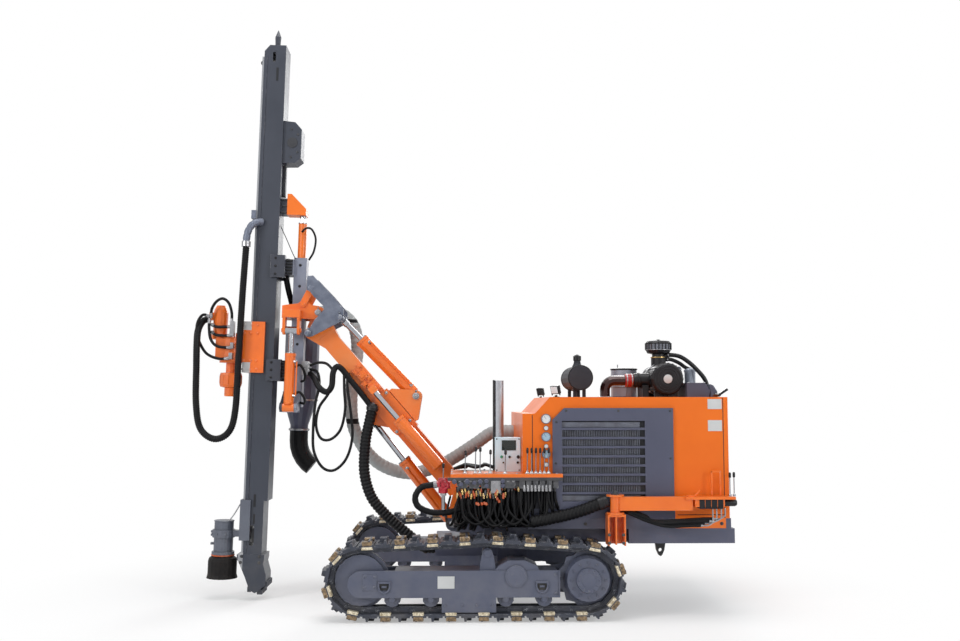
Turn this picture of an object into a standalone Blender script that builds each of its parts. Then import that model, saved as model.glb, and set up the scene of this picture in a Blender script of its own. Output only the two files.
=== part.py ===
"""Crawler drilling rig: tracks, engine house, telescopic boom and drill mast.

Metres, +Z up. The drill end points to -X and the machine's left side to -Y.
Sizes below are placed from the middle of the tracks, on the ground. The whole
rig then hangs on one empty that brings the middle of its box to the origin.
"""
import math

import bmesh
import bpy
from mathutils import Matrix, Vector

# Clearances
TOUCH = 0.0003
RUNNING = 0.005
PLAY = 0.0006

# The rig's place: the tracks' middle stands this far behind the box's middle
TRACK_MIDDLE_X = 0.186

# Half the house's width; the tracks' middles stand a little outside its walls
BODY_HALF = 0.88

# Tracks
TRACK_Y = BODY_HALF + 0.07
SHOE_WIDTH = 0.30
WHEEL_X = 0.95
WHEEL_Z = 0.335
CHAIN_RADIUS = 0.255
SHOES = 40
LINK_HALF_HEIGHT = 0.036
LINK_Y = 0.045
LINK_WIDTH = 0.028
PLATE_INNER = 0.010
PLATE_NOTCH = 0.026
PLATE_OUTER = 0.040
BAR_HEIGHT = 0.070
CARRIER_X = 0.11
CARRIER_Z = 0.552
CARRIER_RADIUS = 0.050
ROLLER_RADIUS = 0.070
ROLLER_X = (-0.68, -0.36, -0.05, 0.26, 0.58)

# Track frames
BEAM_FRONT_X = -0.94
BEAM_REAR_X = 0.71
BEAM_BOTTOM = 0.200
BEAM_TOP = 0.420
SIDE_PLATE = 0.022
FRAME_HALF_WIDTH = 0.135
AXLE_X = 0.344
AXLE_Z = 0.374
AXLE_RADIUS = 0.080

# Chassis and engine house
FRAME_BOTTOM = 0.610
FRAME_TOP = 0.735
FRAME_HALF = TRACK_Y - SHOE_WIDTH / 2 - 0.02
FRAME_FRONT = 0.30
BODY_REAR = 2.20
HOUSE_FRONT = 0.415
HOUSE_BOTTOM = 0.820
HOUSE_TOP = 1.855
HOUSE_STEP_Z = 1.713
HOUSE_STEP_X = 0.523
HOUSE_SLOPE_X = 0.653
WALL = 0.020
GRILLE_FRONT = 0.672
GRILLE_REAR = 1.712
GRILLE_BOTTOM = 0.900
GRILLE_TOP = 1.760
GRILLE_THICK = 0.020
SLOT_FRONT = 0.753
SLOT_REAR = 1.467
SLOT_TOP = 1.650
SLOT_HEIGHT = 0.058
SLOT_PITCH = 0.078
SLOTS = 9

# Control deck
DECK_FRONT = -0.20
DECK_REAR = 0.75
DECK_OUTER = -BODY_HALF - 0.105
DECK_INNER = -0.415
DECK_TOP = 1.205
DECK_THICK = 0.025

# King post and boom seat
POST_X = 0.09
POST_RADIUS = 0.085
SEAT_BOTTOM = 0.560
SEAT_TOP = 1.060
SEAT_PLATE_Y = 0.112
SEAT_PLATE = 0.030
FOOT = Vector((-0.100, 0.0, 0.965))
LIFT_BASE = Vector((-0.185, 0.0, 0.690))
FOOT_PIN = 0.032
LIFT_PIN = 0.025
LIFT_EYE_HALF = 0.055

# Boom: u runs along it from the foot pin, v stands square on its back
BOOM_ANGLE = math.radians(49.1)
OUTER_HALF_WIDTH = 0.090
OUTER_LOW = -0.100
OUTER_HIGH = 0.090
BOOM_WALL = 0.012
SLEEVE_START = 0.800
MOUTH = 1.200
SLEEVE_PLATE = 0.014
INNER_TAIL = 0.280
INNER_END = 1.960
LIFT_EYE_U = 1.079
LIFT_EYE_V = -0.193
TILT_BASE_U = 0.965
TILT_BASE_V = 0.265
SIDE_CYLINDER_Y = 0.172
SIDE_CYLINDER_V = 0.005
SIDE_CYLINDER_RADIUS = 0.058

# Head linkage at the boom's top, all at rest
TILT_AXIS = Vector((-1.448, 0.0, 2.646))
ROCKER_AXIS = Vector((-1.534, 0.0, 2.4515))
ROD_EYE = Vector((-1.243, 0.0, 2.597))
LINK_TOP = Vector((-1.5126, 0.0, 2.874))
LINK_LOW = Vector((-1.590, 0.0, 2.7233))
HEAD_HALF = 0.075
ARM_PLATE_Y = 0.130
ARM_PLATE = 0.020
LINK_PLATE_Y = 0.1553
LINK_PLATE = 0.014
ROCKER_PLATE_Y = 0.1750
ROCKER_PLATE = 0.020
HEAD_PIN = 0.024
ROD_EYE_HALF = 0.0405

# Mast: drawn upright, then leaned about the tilt pin
LEAN = math.radians(1.4)
MAST_REAR = -1.850
MAST_DEPTH = 0.205
MAST_FRONT = MAST_REAR - MAST_DEPTH
MAST_HALF = 0.125
MAST_BOTTOM = 0.400
MAST_TOP = 5.210
RAIL_FRONT = MAST_FRONT - 0.017
DRILL_X = RAIL_FRONT - 0.194
CRADLE_FRONT = -1.705
CRADLE_REAR = -1.585
CRADLE_HALF = 0.060
CRADLE_BOTTOM = 1.760
CRADLE_TOP = 3.170
ROLL_Z = 2.645
ROLL_PIN = 0.040
COMPENSATOR_X = -1.645
COMPENSATOR_RADIUS = 0.040
COMPENSATOR_TOP = 3.510
ROLL_CYLINDER_X = -1.680
ROLL_CYLINDER_Y = -0.205
ROLL_CYLINDER_LOW = 1.755
ROLL_CYLINDER_HIGH = 2.470

# Console arm
CONSOLE_X = 1.190
CONSOLE_Y = -BODY_HALF - 0.105

# Where each body turns or slides from, and what carries it
BODIES = {
    "root": (None, Vector((0.0, 0.0, 0.0))),
    "boom_seat": ("root", Vector((POST_X, 0.0, SEAT_BOTTOM))),
    "boom": ("boom_seat", FOOT),
    "lift_barrel": ("boom_seat", LIFT_BASE),
    "lift_rod": ("lift_barrel", LIFT_BASE),
    "boom_inner": ("boom", FOOT),
    "tilt_barrel": ("boom_inner", None),
    "tilt_rod": ("tilt_barrel", None),
    "rocker": ("boom_inner", ROCKER_AXIS),
    "rocker_link": ("rocker", LINK_TOP),
    "tilt_arm": ("boom_inner", TILT_AXIS),
    "cradle": ("tilt_arm", None),
    "roll_barrel": ("cradle", None),
    "roll_rod": ("roll_barrel", None),
    "mast": ("cradle", None),
    "carriage": ("mast", None),
    "spindle": ("carriage", None),
    "console": ("root", Vector((CONSOLE_X, CONSOLE_Y, 0.87))),
}

UP = Vector((0.0, 0.0, 1.0))
ACROSS = Vector((0.0, 1.0, 0.0))


# Frames: the boom's own, and the mast's lean

def boom_point(u, v, y=0.0):
    along = Vector((-math.cos(BOOM_ANGLE), 0.0, math.sin(BOOM_ANGLE)))
    square = Vector((math.sin(BOOM_ANGLE), 0.0, math.cos(BOOM_ANGLE)))
    return FOOT + along * u + square * v + ACROSS * y


def boom_uv(point):
    offset = point - FOOT
    along = Vector((-math.cos(BOOM_ANGLE), 0.0, math.sin(BOOM_ANGLE)))
    square = Vector((math.sin(BOOM_ANGLE), 0.0, math.cos(BOOM_ANGLE)))
    return offset.dot(along), offset.dot(square)


def boom_frame():
    """Local x is u, local z is v, and local y points to the machine's left."""
    turn = Matrix(((-math.cos(BOOM_ANGLE), 0.0, math.sin(BOOM_ANGLE)),
                   (0.0, -1.0, 0.0),
                   (math.sin(BOOM_ANGLE), 0.0, math.cos(BOOM_ANGLE)))).to_4x4()
    return Matrix.Translation(FOOT) @ turn


def mast_frame():
    lean = Matrix.Rotation(LEAN, 4, "Y")
    return Matrix.Translation(TILT_AXIS) @ lean @ Matrix.Translation(-TILT_AXIS)


def aim(start, end):
    """A frame at start whose z runs to end and whose y stays close to +Y."""
    z = (end - start).normalized()
    hint = ACROSS if abs(z.y) < 0.9 else Vector((1.0, 0.0, 0.0))
    x = hint.cross(z).normalized()
    y = z.cross(x)
    return Matrix.Translation(start) @ Matrix((x, y, z)).transposed().to_4x4()


# Shapes

def mesh_from(verts, faces):
    bm = bmesh.new()
    made = [bm.verts.new(v) for v in verts]
    for face in faces:
        bm.faces.new([made[i] for i in face])
    bmesh.ops.recalc_face_normals(bm, faces=bm.faces)
    mesh = bpy.data.meshes.new("shape")
    bm.to_mesh(mesh)
    bm.free()
    return mesh


def prism(outline, axis, low, high):
    """Extrude an outline along x, y or z; it holds the other two in order."""
    place = {"x": lambda a, b, c: (c, a, b),
             "y": lambda a, b, c: (a, c, b),
             "z": lambda a, b, c: (a, b, c)}[axis]
    count = len(outline)
    verts = [place(a, b, c) for c in (low, high) for a, b in outline]
    faces = [list(range(count)), list(range(count, 2 * count))]
    for i in range(count):
        j = (i + 1) % count
        faces.append((i, j, count + j, count + i))
    return mesh_from(verts, faces)


def box(x, y, z):
    return prism([(x[0], y[0]), (x[1], y[0]), (x[1], y[1]), (x[0], y[1])], "z", *z)


def turned(profile, start, direction, sides=12, phase=0.0):
    """Turn (distance, radius) steps about a line; the ends are closed."""
    frame = aim(start, start + direction)
    verts = []
    for distance, radius in profile:
        for i in range(sides):
            angle = math.tau * (i + phase) / sides
            verts.append(frame @ Vector((radius * math.cos(angle),
                                         radius * math.sin(angle), distance)))
    rings = len(profile)
    faces = [list(range(sides)), list(range((rings - 1) * sides, rings * sides))]
    for r in range(rings - 1):
        for i in range(sides):
            j = (i + 1) % sides
            faces.append((r * sides + i, r * sides + j,
                          (r + 1) * sides + j, (r + 1) * sides + i))
    return mesh_from(verts, faces)


def rod(start, end, radius, sides=12):
    return turned([(0.0, radius), ((end - start).length, radius)], start, end - start, sides)


def cross_pin(centre, half, radius, sides=12):
    return rod(centre - ACROSS * half, centre + ACROSS * half, radius, sides)


def pipe(route, radius, sides=12):
    """A closed round bar bent through a route of points, in one plane or not."""
    verts = []
    ahead = (route[1] - route[0]).normalized()
    side = ahead.cross(ACROSS if abs(ahead.y) < 0.9 else UP).normalized()
    for i, point in enumerate(route):
        before = (point - route[i - 1]).normalized() if i else ahead
        after = (route[i + 1] - point).normalized() if i + 1 < len(route) else before
        turn = before.rotation_difference(after)
        middle = before.slerp(after, 0.5) if before.angle(after) > 1e-5 else before
        stretch = 1.0 / max(0.5, before.dot(middle))
        half = before.rotation_difference(middle)
        wide = (half @ side).normalized()
        deep = middle.cross(wide).normalized()
        bow = after - before
        for k in range(sides):
            angle = math.tau * k / sides
            spoke = wide * math.cos(angle) + deep * math.sin(angle)
            if bow.length > 1e-5:
                across = (bow - middle * bow.dot(middle)).normalized()
                spoke += across * spoke.dot(across) * (stretch - 1.0)
            verts.append(point + spoke * radius)
        side = (turn @ side).normalized()
    rings = len(route)
    faces = [list(range(sides)), list(range((rings - 1) * sides, rings * sides))]
    for r in range(rings - 1):
        for k in range(sides):
            j = (k + 1) % sides
            faces.append((r * sides + k, r * sides + j, (r + 1) * sides + j, (r + 1) * sides + k))
    return mesh_from(verts, faces)


def pin_heads(centre, axis, inner, outer, radius, sides=12):
    """The two ends of a pin whose middle belongs to the eye between them."""
    return [rod(centre + axis * side * inner, centre + axis * side * outer, radius, sides)
            for side in (-1, 1)]


def hole(start, end, radius, sides=12):
    """A cutter whose flats clear a pin of this radius, however it turns."""
    clear = (radius + TOUCH) / math.cos(math.pi / sides)
    return turned([(0.0, clear), ((end - start).length, clear)], start, end - start, sides, 0.5)


def cross_hole(centre, radius, sides=12):
    return hole(centre - ACROSS * 0.3, centre + ACROSS * 0.3, radius, sides)


def hull(circles, step=16):
    """Outline around (a, b, radius) circles, as a plate's rounded shape."""
    points = []
    for a, b, radius in circles:
        for i in range(step):
            angle = math.tau * i / step
            points.append((a + radius * math.cos(angle), b + radius * math.sin(angle)))
    bm = bmesh.new()
    verts = [bm.verts.new((a, b, 0.0)) for a, b in points]
    result = bmesh.ops.convex_hull(bm, input=verts)
    kept = {v for v in result["geom"] if isinstance(v, bmesh.types.BMVert)}
    flat = [(v.co.x, v.co.y) for v in kept if v.is_valid]
    bm.free()
    centre = (sum(p[0] for p in flat) / len(flat), sum(p[1] for p in flat) / len(flat))
    return sorted(flat, key=lambda p: math.atan2(p[1] - centre[1], p[0] - centre[0]))


def copied(mesh, matrix):
    other = mesh.copy()
    other.transform(matrix)
    return other


def fuse(adds, cuts=()):
    """Join closed shapes into one body, then cut others out of it."""
    scene = bpy.context.scene.collection
    base = bpy.data.objects.new("base", adds[0])
    scene.objects.link(base)
    groups = []
    for kind, shapes in (("UNION", adds[1:]), ("DIFFERENCE", cuts)):
        if not shapes:
            continue
        group = bpy.data.collections.new("tools")
        scene.children.link(group)
        groups.append(group)
        for shape in shapes:
            group.objects.link(bpy.data.objects.new("tool", shape))
        modifier = base.modifiers.new(kind, "BOOLEAN")
        modifier.operation = kind
        modifier.operand_type = "COLLECTION"
        modifier.collection = group
    bpy.context.view_layer.update()
    depsgraph = bpy.context.evaluated_depsgraph_get()
    mesh = bpy.data.meshes.new_from_object(base.evaluated_get(depsgraph))
    for group in groups:
        for tool in list(group.objects):
            bpy.data.objects.remove(tool)
        bpy.data.collections.remove(group)
    bpy.data.objects.remove(base)
    bm = bmesh.new()
    bm.from_mesh(mesh)
    bmesh.ops.remove_doubles(bm, verts=bm.verts, dist=1e-5)
    bmesh.ops.dissolve_degenerate(bm, edges=bm.edges, dist=1e-5)
    bmesh.ops.dissolve_limit(bm, angle_limit=math.radians(0.2), verts=bm.verts, edges=bm.edges)
    bm.to_mesh(mesh)
    bm.free()
    return mesh


# Finishes: name, colour, roughness, metallic

FINISHES = {
    "orange_paint": ((0.85, 0.20, 0.02), 0.38, 0.0),
    "slate_paint": ((0.075, 0.085, 0.120), 0.45, 0.0),
    "dark_steel": ((0.045, 0.048, 0.060), 0.50, 0.6),
    "pale_steel": ((0.42, 0.43, 0.47), 0.45, 0.7),
    "chrome": ((0.80, 0.80, 0.82), 0.12, 1.0),
    "black_rubber": ((0.012, 0.012, 0.013), 0.65, 0.0),
    "black_plastic": ((0.015, 0.015, 0.017), 0.35, 0.0),
    "grey_fabric": ((0.45, 0.45, 0.44), 0.85, 0.0),
    "white_paint": ((0.78, 0.78, 0.78), 0.40, 0.0),
    "brown_pipe": ((0.16, 0.07, 0.04), 0.30, 0.6),
    "silver": ((0.60, 0.61, 0.63), 0.30, 0.9),
}
MADE = {}


def finish(name):
    if name in MADE:
        return MADE[name]
    colour, roughness, metallic = FINISHES[name]
    made = bpy.data.materials.new(name)
    made.use_nodes = True
    shader = made.node_tree.nodes["Principled BSDF"]
    shader.inputs["Base Color"].default_value = (*colour, 1.0)
    shader.inputs["Roughness"].default_value = roughness
    shader.inputs["Metallic"].default_value = metallic
    MADE[name] = made
    return made


EMPTIES = {}
JOINTS = {}


def hang(obj, body, paint, mesh=None):
    if mesh is not None:
        mesh.transform(Matrix.Translation(-JOINTS[body]))
        mesh.materials.clear()
        mesh.materials.append(finish(paint))
        mesh.shade_smooth()
        mesh.set_sharp_from_angle(angle=math.radians(30))
    obj.parent = EMPTIES[body]
    bpy.context.scene.collection.objects.link(obj)


def node(name, paint, body, adds, cuts=(), frame=None):
    mesh = fuse(adds, cuts) if len(adds) > 1 or cuts else adds[0]
    if frame is not None:
        mesh.transform(frame)
    obj = bpy.data.objects.new(name, mesh)
    hang(obj, body, paint, mesh)


def smooth_route(points, per_span):
    """Points read from a Catmull-Rom curve through the route's own points."""
    ends = [points[0] * 2 - points[1]] + points + [points[-1] * 2 - points[-2]]
    route = []
    for i in range(len(points) - 1):
        a, b, c, d = ends[i:i + 4]
        for k in range(per_span):
            t = k / per_span
            route.append(((b * 2) + (c - a) * t + (a * 2 - b * 5 + c * 4 - d) * t ** 2
                          + (b * 3 - a - c * 3 + d) * t ** 3) * 0.5)
    return route + [points[-1]]


def hose(name, paint, body, points, radius, per_span=3):
    curve = bpy.data.curves.new(name, "CURVE")
    curve.dimensions = "3D"
    curve.bevel_depth = radius
    curve.bevel_resolution = 2
    curve.use_fill_caps = True
    route = smooth_route([Vector(p) for p in points], per_span)
    spline = curve.splines.new("POLY")
    spline.points.add(len(route) - 1)
    for point, place in zip(spline.points, route):
        point.co = (*(place - JOINTS[body]), 1.0)
    curve.materials.append(finish(paint))
    hang(bpy.data.objects.new(name, curve), body, paint)


def set_up():
    for obj in list(bpy.data.objects):
        bpy.data.objects.remove(obj)
    lean = mast_frame()
    JOINTS.update({name: place for name, (_, place) in BODIES.items() if place is not None})
    JOINTS["tilt_barrel"] = boom_point(TILT_BASE_U, TILT_BASE_V)
    JOINTS["tilt_rod"] = JOINTS["tilt_barrel"]
    JOINTS["cradle"] = lean @ Vector((COMPENSATOR_X, 0.0, ROLL_Z))
    JOINTS["roll_barrel"] = lean @ Vector((ROLL_CYLINDER_X, ROLL_CYLINDER_Y, ROLL_CYLINDER_LOW))
    JOINTS["roll_rod"] = JOINTS["roll_barrel"]
    JOINTS["mast"] = lean @ Vector((COMPENSATOR_X, 0.0, COMPENSATOR_TOP))
    JOINTS["carriage"] = lean @ Vector((DRILL_X, 0.0, 2.07))
    JOINTS["spindle"] = JOINTS["carriage"]
    for name, (parent, _) in BODIES.items():
        empty = bpy.data.objects.new(name + "_joint", None)
        bpy.context.scene.collection.objects.link(empty)
        if parent is None:
            empty.location = (TRACK_MIDDLE_X, 0.0, 0.0)
        else:
            empty.parent = EMPTIES[parent]
            empty.location = JOINTS[name] - JOINTS[parent]
        EMPTIES[name] = empty


# Tracks

def belt(circles, steps=60):
    """Closed line round (x, z, radius) circles, taken against the clock."""
    turns = []
    for i, (x, z, radius) in enumerate(circles):
        nx, nz, nr = circles[(i + 1) % len(circles)]
        heading = math.atan2(nz - z, nx - x)
        span = math.hypot(nx - x, nz - z)
        turns.append(heading - math.acos((radius - nr) / span))
    line = []
    for i, (x, z, radius) in enumerate(circles):
        start, end = turns[i - 1], turns[i]
        while end < start:
            end += math.tau
        for k in range(steps + 1):
            angle = start + (end - start) * k / steps
            line.append(Vector((x + radius * math.cos(angle), z + radius * math.sin(angle))))
    return line


def chain_pins():
    pin_line = belt([(-WHEEL_X, WHEEL_Z, CHAIN_RADIUS), (WHEEL_X, WHEEL_Z, CHAIN_RADIUS),
                     (CARRIER_X, CARRIER_Z, CARRIER_RADIUS + LINK_HALF_HEIGHT)])
    pin_line.append(pin_line[0])
    reach = [0.0]
    for a, b in zip(pin_line, pin_line[1:]):
        reach.append(reach[-1] + (b - a).length)
    pins = []
    leg = 0
    for i in range(SHOES):
        target = reach[-1] * i / SHOES
        while reach[leg + 1] < target:
            leg += 1
        share = (target - reach[leg]) / (reach[leg + 1] - reach[leg])
        pins.append(pin_line[leg].lerp(pin_line[leg + 1], share))
    return pins


def shoe_steps(pitch):
    """(along, height) steps of one shoe's back, from its leading pin."""
    return ((0.008, PLATE_NOTCH), (0.008, PLATE_OUTER), (0.030, PLATE_OUTER),
            (0.036, BAR_HEIGHT), (0.052, BAR_HEIGHT), (0.060, PLATE_OUTER),
            (pitch - 0.008, PLATE_OUTER), (pitch - 0.008, PLATE_NOTCH))


def loop_solid(outer, inner, low, high):
    """A closed band: outer holds several points for each inner one."""
    verts = []
    faces = []
    for y in (low, high):
        verts += [(x, y, z) for group in outer for x, z in group]
        verts += [(x, y, z) for x, z in inner]
    per, count = len(outer[0]), len(inner)
    side = per * count + count
    for i in range(count):
        nxt = (i + 1) % count
        ring_points = [i * per + k for k in range(per)] + [nxt * per]
        for k in range(per):
            a, b = ring_points[k], ring_points[k + 1]
            faces.append((a, b, side + b, side + a))
        a, b = per * count + i, per * count + nxt
        faces.append((a, b, side + b, side + a))
        cap = ring_points + [b, a]
        faces.append(cap)
        faces.append([side + v for v in cap])
    return mesh_from(verts, faces)


def track_mesh(pins):
    backs, inner, rail_in, rail_out, blocks = [], [], [], [], []
    for i, (pin, joint_out) in enumerate(chain_turns(pins)):
        after = pins[(i + 1) % SHOES]
        along = (after - pin).normalized()
        pitch = (after - pin).length
        outward = Vector((along.y, -along.x))
        backs.append([tuple(pin + along * a + outward * h) for a, h in shoe_steps(pitch)])
        inner.append(tuple(pin + joint_out * PLATE_INNER))
        rail_in.append(tuple(pin - joint_out * LINK_HALF_HEIGHT))
        rail_out.append([tuple(pin + joint_out * (PLATE_INNER + 0.006))])
        if i % 2 == 0:
            corners = [(0.030, PLATE_OUTER - 0.004), (0.100, PLATE_OUTER - 0.004),
                       (0.094, WHEEL_Z - CHAIN_RADIUS), (0.036, WHEEL_Z - CHAIN_RADIUS)]
            outline = [tuple(pin + along * a + outward * h) for a, h in corners]
            blocks.append(prism(outline, "y", -0.055, 0.055))
    half = SHOE_WIDTH / 2
    shapes = [loop_solid(backs, inner, -half, half)]
    for side in (-1, 1):
        middle = side * LINK_Y
        shapes.append(loop_solid(rail_out, rail_in, middle - LINK_WIDTH / 2, middle + LINK_WIDTH / 2))
    return fuse(shapes + blocks)


def chain_turns(pins):
    """Each pin with the direction that points out of the belt there."""
    turns = []
    for i, pin in enumerate(pins):
        after = (pins[(i + 1) % SHOES] - pin).normalized()
        before = (pin - pins[i - 1]).normalized()
        middle = (after + before).normalized()
        turns.append((pin, Vector((middle.y, -middle.x))))
    return turns


def tread_radius(x):
    """The wheel at this x that just fits inside the chain's inner edges."""
    centre = Vector((x, WHEEL_Z))
    edges = [pin - out * LINK_HALF_HEIGHT for pin, out in chain_turns(chain_pins())]
    nearest = []
    for a, b in zip(edges, edges[1:] + edges[:1]):
        share = (centre - a).dot(b - a) / (b - a).length_squared
        nearest.append((a.lerp(b, max(0.0, min(1.0, share))) - centre).length)
    return min(nearest) - TOUCH


def idler_mesh():
    tread = tread_radius(-WHEEL_X)
    seat = FRAME_HALF_WIDTH - SIDE_PLATE - TOUCH
    profile = [(-seat, 0.045), (-0.078, 0.045), (-0.072, tread), (-0.024, tread), (-0.022, 0.240),
               (0.022, 0.240), (0.024, tread), (0.072, tread), (0.078, 0.045), (seat, 0.045)]
    return turned(profile, Vector((-WHEEL_X, 0.0, WHEEL_Z)), ACROSS, 20)


def sprocket_meshes(side):
    centre = Vector((WHEEL_X, 0.0, WHEEL_Z))
    outward = ACROSS * side
    seat = FRAME_HALF_WIDTH - SIDE_PLATE - TOUCH
    profile = [(-seat, 0.130), (-0.060, 0.130), (-0.060, 0.200), (0.066, 0.200),
               (0.105, 0.178), (0.108, 0.108), (0.141, 0.100)]
    teeth = []
    for i in range(24):
        angle = math.tau * i / 24
        radius = 0.250 if i % 2 else 0.222
        teeth.append((WHEEL_X + radius * math.cos(angle), WHEEL_Z + radius * math.sin(angle)))
    return [turned(profile, centre, outward, 20), prism(teeth, "y", -0.022, 0.022)]


def track_frame_meshes(side):
    """Side -1 stands at the machine's left; y counts from the track's middle."""
    out = FRAME_HALF_WIDTH
    low_edge = BEAM_BOTTOM
    nose = [(BEAM_FRONT_X + 0.11 * math.cos(a), 0.31 + 0.11 * math.sin(a))
            for a in (math.radians(d) for d in range(90, 271, 20))]
    long_plate = [(BEAM_REAR_X, low_edge), (BEAM_REAR_X, BEAM_TOP)] + nose
    shapes = [prism(long_plate, "y", face * out - SIDE_PLATE * (face > 0), face * out + SIDE_PLATE * (face < 0))
              for face in (-1, 1)]
    shapes.append(box((-0.66, 0.69), (-out + 0.01, out - 0.01), (0.262, BEAM_TOP - 0.001)))
    drive = hull([(0.60, 0.31, 0.10), (WHEEL_X, WHEEL_Z, 0.150)])
    inner = -side
    faces = sorted((inner * out, inner * (out - SIDE_PLATE)))
    shapes.append(prism(drive, "y", *faces))
    for x in ROLLER_X:
        z = WHEEL_Z - CHAIN_RADIUS + LINK_HALF_HEIGHT + ROLLER_RADIUS + TOUCH
        roller = [(-0.120, 0.028), (-0.088, 0.028), (-0.088, ROLLER_RADIUS),
                  (0.088, ROLLER_RADIUS), (0.088, 0.028), (0.120, 0.028)]
        shapes.append(turned(roller, Vector((x, 0.0, z)), ACROSS, 10))
    carrier = CARRIER_RADIUS - 0.005
    shapes.append(rod(Vector((CARRIER_X, -0.075, CARRIER_Z)), Vector((CARRIER_X, 0.075, CARRIER_Z)), carrier))
    shapes.append(rod(Vector((CARRIER_X, -0.100, CARRIER_Z)), Vector((CARRIER_X, 0.100, CARRIER_Z)), 0.018))
    for y in (-0.100, 0.085):
        cheek = [(CARRIER_X - 0.07, BEAM_TOP - 0.01), (CARRIER_X + 0.07, BEAM_TOP - 0.01),
                 (CARRIER_X + 0.05, 0.535), (CARRIER_X + 0.03, 0.585), (CARRIER_X - 0.03, 0.585),
                 (CARRIER_X - 0.05, 0.535)]
        shapes.append(prism(cheek, "y", y, y + 0.015))
    saddle = [(0.15, BEAM_TOP - 0.02), (0.55, BEAM_TOP - 0.02), (0.52, 0.455), (0.42, 0.500),
              (0.28, 0.500), (0.20, 0.455)]
    shapes.append(prism(saddle, "y", -out + 0.012, out - 0.012))
    outer_boss = Vector((AXLE_X, side * 0.110, AXLE_Z))
    shapes.append(rod(outer_boss, outer_boss + ACROSS * side * 0.037, 0.090, 16))
    inner_start = Vector((AXLE_X, -side * 0.110, AXLE_Z))
    inner_end = Vector((AXLE_X, -side * (TRACK_Y - 0.45 - TOUCH), AXLE_Z))
    shapes.append(rod(inner_start, inner_end, AXLE_RADIUS, 16))
    for y in (-out, out - SIDE_PLATE):
        shapes.append(box((-0.27, 0.18), (y, y + SIDE_PLATE), (0.080, 0.215)))
    return shapes


def build_tracks():
    pins = chain_pins()
    loop = track_mesh(pins)
    for side, name in ((-1, "left"), (1, "right")):
        shift = Matrix.Translation((0.0, side * TRACK_Y, 0.0))
        node("track_" + name, "dark_steel", "root", [copied(loop, shift)])
        node("idler_" + name, "dark_steel", "root", [copied(idler_mesh(), shift)])
        node("sprocket_" + name, "dark_steel", "root", sprocket_meshes(side), frame=shift)
        node("track_frame_" + name, "dark_steel", "root", track_frame_meshes(side), frame=shift)


# Chassis

def build_chassis():
    low, high = FRAME_BOTTOM, FRAME_TOP
    post_foot = Vector((POST_X, 0.0, 0.50))
    post_head = Vector((POST_X, 0.0, SEAT_TOP + TOUCH))
    adds = [
        box((FRAME_FRONT, BODY_REAR), (-FRAME_HALF, FRAME_HALF), (low, high)),
        box((1.32, BODY_REAR + 0.03), (-BODY_HALF, BODY_HALF), (low, high)),
        box((0.46, BODY_REAR), (-BODY_HALF, BODY_HALF), (high - 0.001, HOUSE_BOTTOM)),
        box((AXLE_X - 0.13, AXLE_X + 0.13), (-0.45, 0.45), (0.270, low + 0.01)),
        box((-0.34, FRAME_FRONT + 0.02), (-0.40, 0.40), (0.440, SEAT_BOTTOM - TOUCH)),
        box((0.10, 0.46), (-0.40, 0.40), (0.440, 0.700)),
    ]
    tow = [(1.695, low + 0.01), (1.830, low + 0.01), (1.800, 0.43), (1.780, 0.385), (1.7625, 0.371),
           (1.745, 0.385), (1.725, 0.43)]
    adds.append(prism(tow, "y", -0.02, 0.02))
    cuts = [box((0.60, 1.20), (-0.30, 0.30), (low - 0.1, low + 0.06)),
            rod(Vector((1.7625, -0.1, 0.43)), Vector((1.7625, 0.1, 0.43)), 0.018),
            box((-0.05, 0.30), (-0.20, 0.20), (SEAT_BOTTOM - TOUCH, 0.72))]
    body = fuse(adds, cuts)
    post = rod(post_foot, post_head, POST_RADIUS, 20)
    cap = rod(post_head, Vector((POST_X, 0.0, SEAT_TOP + 0.03)), 0.125, 20)
    node("chassis", "slate_paint", "root", [body, post, cap])


def house_outline(inset=0.0):
    return [(HOUSE_FRONT + inset, HOUSE_BOTTOM + TOUCH), (BODY_REAR - 0.01 - inset, HOUSE_BOTTOM + TOUCH),
            (BODY_REAR - 0.01 - inset, HOUSE_TOP - inset), (HOUSE_SLOPE_X + inset * 0.4, HOUSE_TOP - inset),
            (HOUSE_STEP_X + inset * 0.4, HOUSE_STEP_Z - inset), (HOUSE_FRONT + inset, HOUSE_STEP_Z - inset)]


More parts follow.
